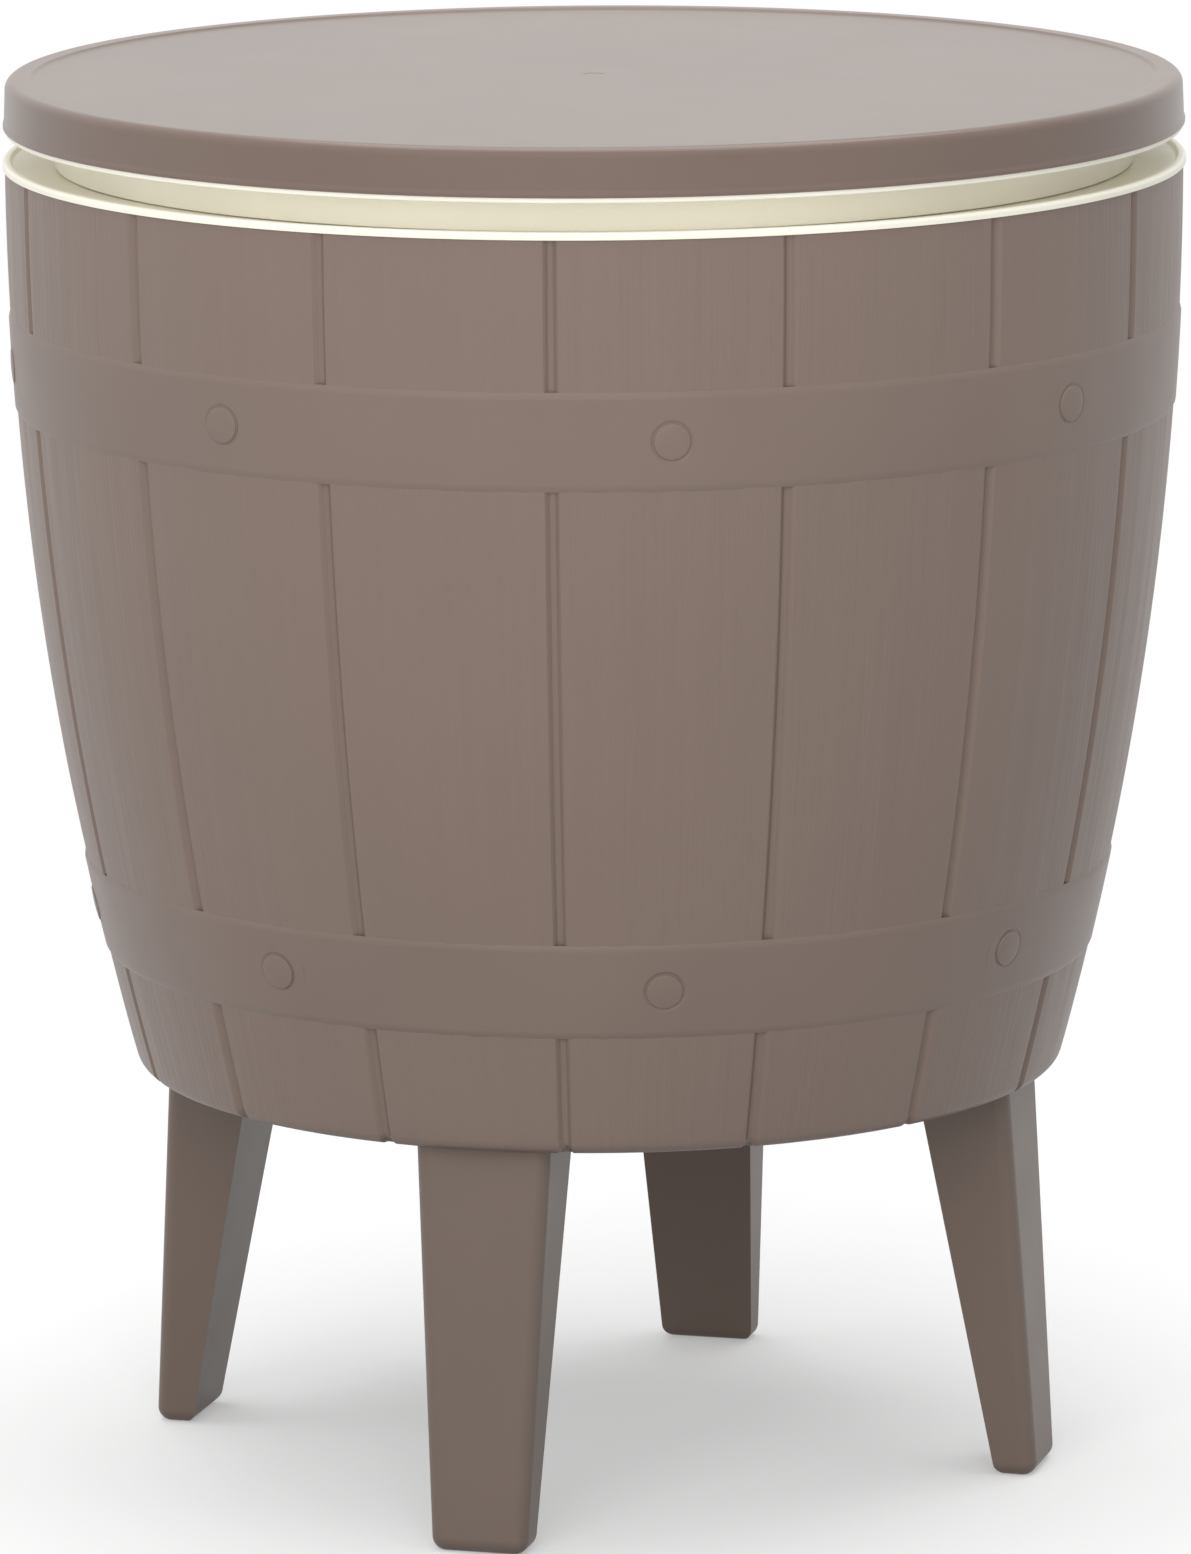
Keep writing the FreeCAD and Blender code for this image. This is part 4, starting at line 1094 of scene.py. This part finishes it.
def tub_body():
    """From the flat underside out and up behind the wall, over the lip inside the barrel
    and the bead, then in over the gutter and down to the flat floor. Both ends dip into
    the floor that is kept from the CAD mesh, so that no crack shows round it."""
    gutter = bead_radius - 0.0033
    lip_outer = rim_radius - wall - 0.0003
    lip_inner = lip_outer - tub_wall
    lip_z = rim_z - 0.0075
    under_z = tub_floor_z - tub_wall
    hidden = tub_flat_radius - 0.003
    return turned("tub_body", [
        (hidden, under_z + 0.0002),
        (tub_flat_radius, under_z),
        (tub_floor_radius + tub_wall, under_z, tub_corner + tub_wall),
        (mouth_radius + tub_wall, throat_z),
        (mouth_radius + tub_wall, rim_z - tub_wall),
        (lip_inner, rim_z - tub_wall),
        (lip_inner, lip_z),
        (lip_outer, lip_z),
        (lip_outer, rim_z),
        (bead_radius, rim_z),
        (bead_radius, tub_high.z, 0.0015),
        (gutter, tub_high.z, 0.001),
        (gutter - 0.001, rim_z + 0.0013, 0.0008),
        (mouth_radius + 0.008, rim_z),
        (mouth_radius, rim_z, 0.0015),
        (mouth_radius, throat_z),
        (tub_floor_radius, tub_floor_z, tub_corner),
        (tub_flat_radius - 0.0001, tub_floor_z),
        (hidden, tub_floor_z - 0.0002)], columns=384, step=0.012, loop=False)


dress(tub_body(), cream_plain, "cooler", "cooler_liner")
dress(cad_patch("tub_floor", "cooler_liner", lambda r, z: r < tub_flat_radius),
      cream_plain, "cooler", "cooler_liner")

# %% [markdown]
# ## The column
#
# In the middle of the tub stands the fixed sleeve with its screwed cap, and out of it
# rises the aluminium pole that carries the lid. These pieces only show when the table
# top is up. The cap is turned like the rest, but its wall is a function of the angle
# too: flutes for the fingers are taken off the radius.

# %% Sleeve
sleeve_low, sleeve_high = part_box("column_sleeve")
ring_low, ring_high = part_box("lock_ring")
bore_radius = 0.029
counterbore_radius = 0.031
sleeve_radius = 0.033
peg_height = 0.0022
flange_z = sleeve_low.z + 0.004
web_inner, web_outer = 0.031, 0.046
web_height = 0.0252
web_width = 0.003


def sleeve_body():
    """Flanged tube with its counterbore, where the lock ring sits."""
    flange_radius = sleeve_high.x
    ring_seat_z = ring_low.z + peg_height
    corners = [
        (bore_radius, sleeve_low.z), (flange_radius, sleeve_low.z),
        (flange_radius, flange_z, 0.001), (sleeve_radius, flange_z),
        (sleeve_radius, sleeve_high.z, 0.0003), (counterbore_radius, sleeve_high.z),
        (counterbore_radius, ring_seat_z), (bore_radius, ring_seat_z)]
    return turned("sleeve_body", corners, columns=192, step=0.02)


def sleeve_webs():
    """Four wedges, from the flange's edge up to the tube."""
    under = flange_z - 0.001
    web = prism([(web_inner, under), (web_outer, under), (web_outer, flange_z + 0.001),
                 (web_inner, flange_z + web_height)], web_width)
    return joined("sleeve_webs", [copies_around(*web, 0, 4)])


dress(sleeve_body(), cream_plain, "cooler", "column_sleeve")
dress(sleeve_webs(), cream_plain, "cooler", "column_sleeve")

# %% Pole and its socket
pole_low, pole_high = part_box("lift_pole")
socket_low, socket_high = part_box("pole_socket")
pole_radius = pole_high.x


def pole_tube():
    """Plain tube with its edges broken."""
    inner = pole_radius - 0.0025
    return turned("pole_tube", [
        (inner, pole_low.z), (pole_radius, pole_low.z),
        (pole_radius, pole_high.z, 0.0003), (inner, pole_high.z, 0.0003)],
        columns=192, step=0.02)


def socket_cup():
    """Flanged cup under the lid: from the cup's ceiling down, out and up to its top."""
    cup = pole_radius + 0.0003
    hub = 0.0292
    ceiling = socket_high.z - 0.003
    return turned("socket_cup", [
        (0, ceiling), (cup, ceiling),
        (cup, socket_low.z, 0.0008), (socket_high.x, socket_low.z, 0.0015),
        (socket_high.x, tray_low.z), (hub, tray_low.z),
        (hub, socket_high.z, 0.001), (0, socket_high.z)],
        columns=192, loop=False)


dress(pole_tube(), aluminium, "lid", "lift_pole")
dress(socket_cup(), cream_plain, "lid", "pole_socket")

# %% Fluted cap
cap_low, cap_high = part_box("sleeve_cap")
flute_count = 24
columns_per_flute = 24
flute_radius = 0.0012


def fluted_cap():
    """Turned cap less sqrt(flute radius^2 - s^2) - half the flute radius on its outer
    wall, where s is the distance round from the middle of the nearest flute."""
    outer = cap_high.x
    skirt = sleeve_radius + 0.0001
    spacer_outer = counterbore_radius - 0.0001
    spacer_inner = 0.0287
    hole = pole_radius + 0.0004
    section = outline([
        (spacer_inner, ring_high.z), (spacer_outer, ring_high.z),
        (spacer_outer, sleeve_high.z), (skirt, sleeve_high.z), (skirt, cap_low.z),
        (outer, cap_low.z), (outer, cap_high.z, 0.0015), (hole, cap_high.z, 0.0008),
        (hole, sleeve_high.z), (spacer_inner, sleeve_high.z)])
    section = filled(np.concatenate([section, section[:1]]), 0.001)[:-1]
    columns = flute_count * columns_per_flute
    angles = full_circle(columns)
    pitch = 2 * math.pi / flute_count
    aside = (angles + pitch / 2) % pitch - pitch / 2
    cut = np.sqrt(np.maximum(flute_radius ** 2 - (aside * outer) ** 2, 0))
    cut = np.maximum(cut - flute_radius / 2, 0)
    flute_top = cap_high.z - 2 * flute_radius
    r, z = section.T[..., None]
    fade = smoothstep((flute_top - z) / 0.0008) * (r > outer - 1e-6)
    points = at_turn(r - fade * cut, angles, z)
    return mesh_from("fluted_cap", points, grid_faces(*points.shape[:2], True, True), 35)


dress(fluted_cap(), cream_plain, "cooler", "sleeve_cap")

# %% [markdown]
# ## Screws
#
# Each pan head screw has a cross recess that the CAD screw leaves out. The head is a
# polar grid: rings carry the profile, and the recess is a height taken off where the
# point lies in one of two crossed bars. One screw is worked out, then copied.

# %% Pan head screws
head_radius = 0.0045
head_height = 0.0026
thread_radius = 0.00195
cross_depth = 0.0014
bar_reach, bar_end = 0.0023, 0.0005
bar_half, bar_edge = 0.00062, 0.0003


def pan_screw(shank, spokes=56):
    """Screw with its seat at height 0 and its head above: rows from the tip to the pole of
    the head. Recess = depth * the larger of two bars that fade out at their edges."""
    dome = np.linspace(0, math.pi / 2, 7)
    half = head_height / 2
    edge = half * np.stack([np.cos(dome), np.sin(dome)], axis=1)
    edge = edge + (head_radius - half, half)
    rings = np.linspace(head_radius - half, 0, 17)[1:]
    crown = np.stack([rings, np.full(16, head_height)], axis=1)
    body = [(0, -shank), (thread_radius, -shank), (thread_radius, 0), (head_radius, 0)]
    profile = np.concatenate([body, edge, crown])
    points = around(profile, full_circle(spokes))
    x, y = np.abs(points[..., 0]), np.abs(points[..., 1])

    def bar(along, across):
        return (smoothstep((bar_reach - along) / bar_end)
                * smoothstep((bar_half - across) / bar_edge))

    top = (profile[:, 1] > head_height - 1e-6)[:, None]
    points[..., 2] -= cross_depth * top * np.maximum(bar(x, y), bar(y, x))
    return points.reshape(-1, 3), grid_faces(len(profile), spokes, False, True)


print("a screw has", len(pan_screw(0.01)[1]), "faces")

# %% Screws in their places


def screw_group(node, body, count, start, heads_up=False):
    """Screws of one CAD group. Circle, seat and tip come from the group's box."""
    low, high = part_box(node)
    circle = (high.x - head_radius) / math.cos(math.radians(start))
    points, faces = pan_screw(high.z - low.z - head_height)
    if heads_up:
        points = points + (0, 0, high.z - head_height)
    else:
        points = points * (1, -1, -1) + (0, 0, low.z + head_height)
    name = node.removesuffix("s") + "_heads"
    piece = joined(name, [copies_around(points, faces, circle, count, start)], 35)
    dress(piece, steel, body, node)


screw_group("leg_screws", "cooler", 4, 0)
screw_group("tie_screws", "cooler", 4, 45)
screw_group("sleeve_screws", "cooler", 4, 45, heads_up=True)
screw_group("socket_screws", "lid", 4, 45)
screw_group("lid_screws", "lid", 8, 0)
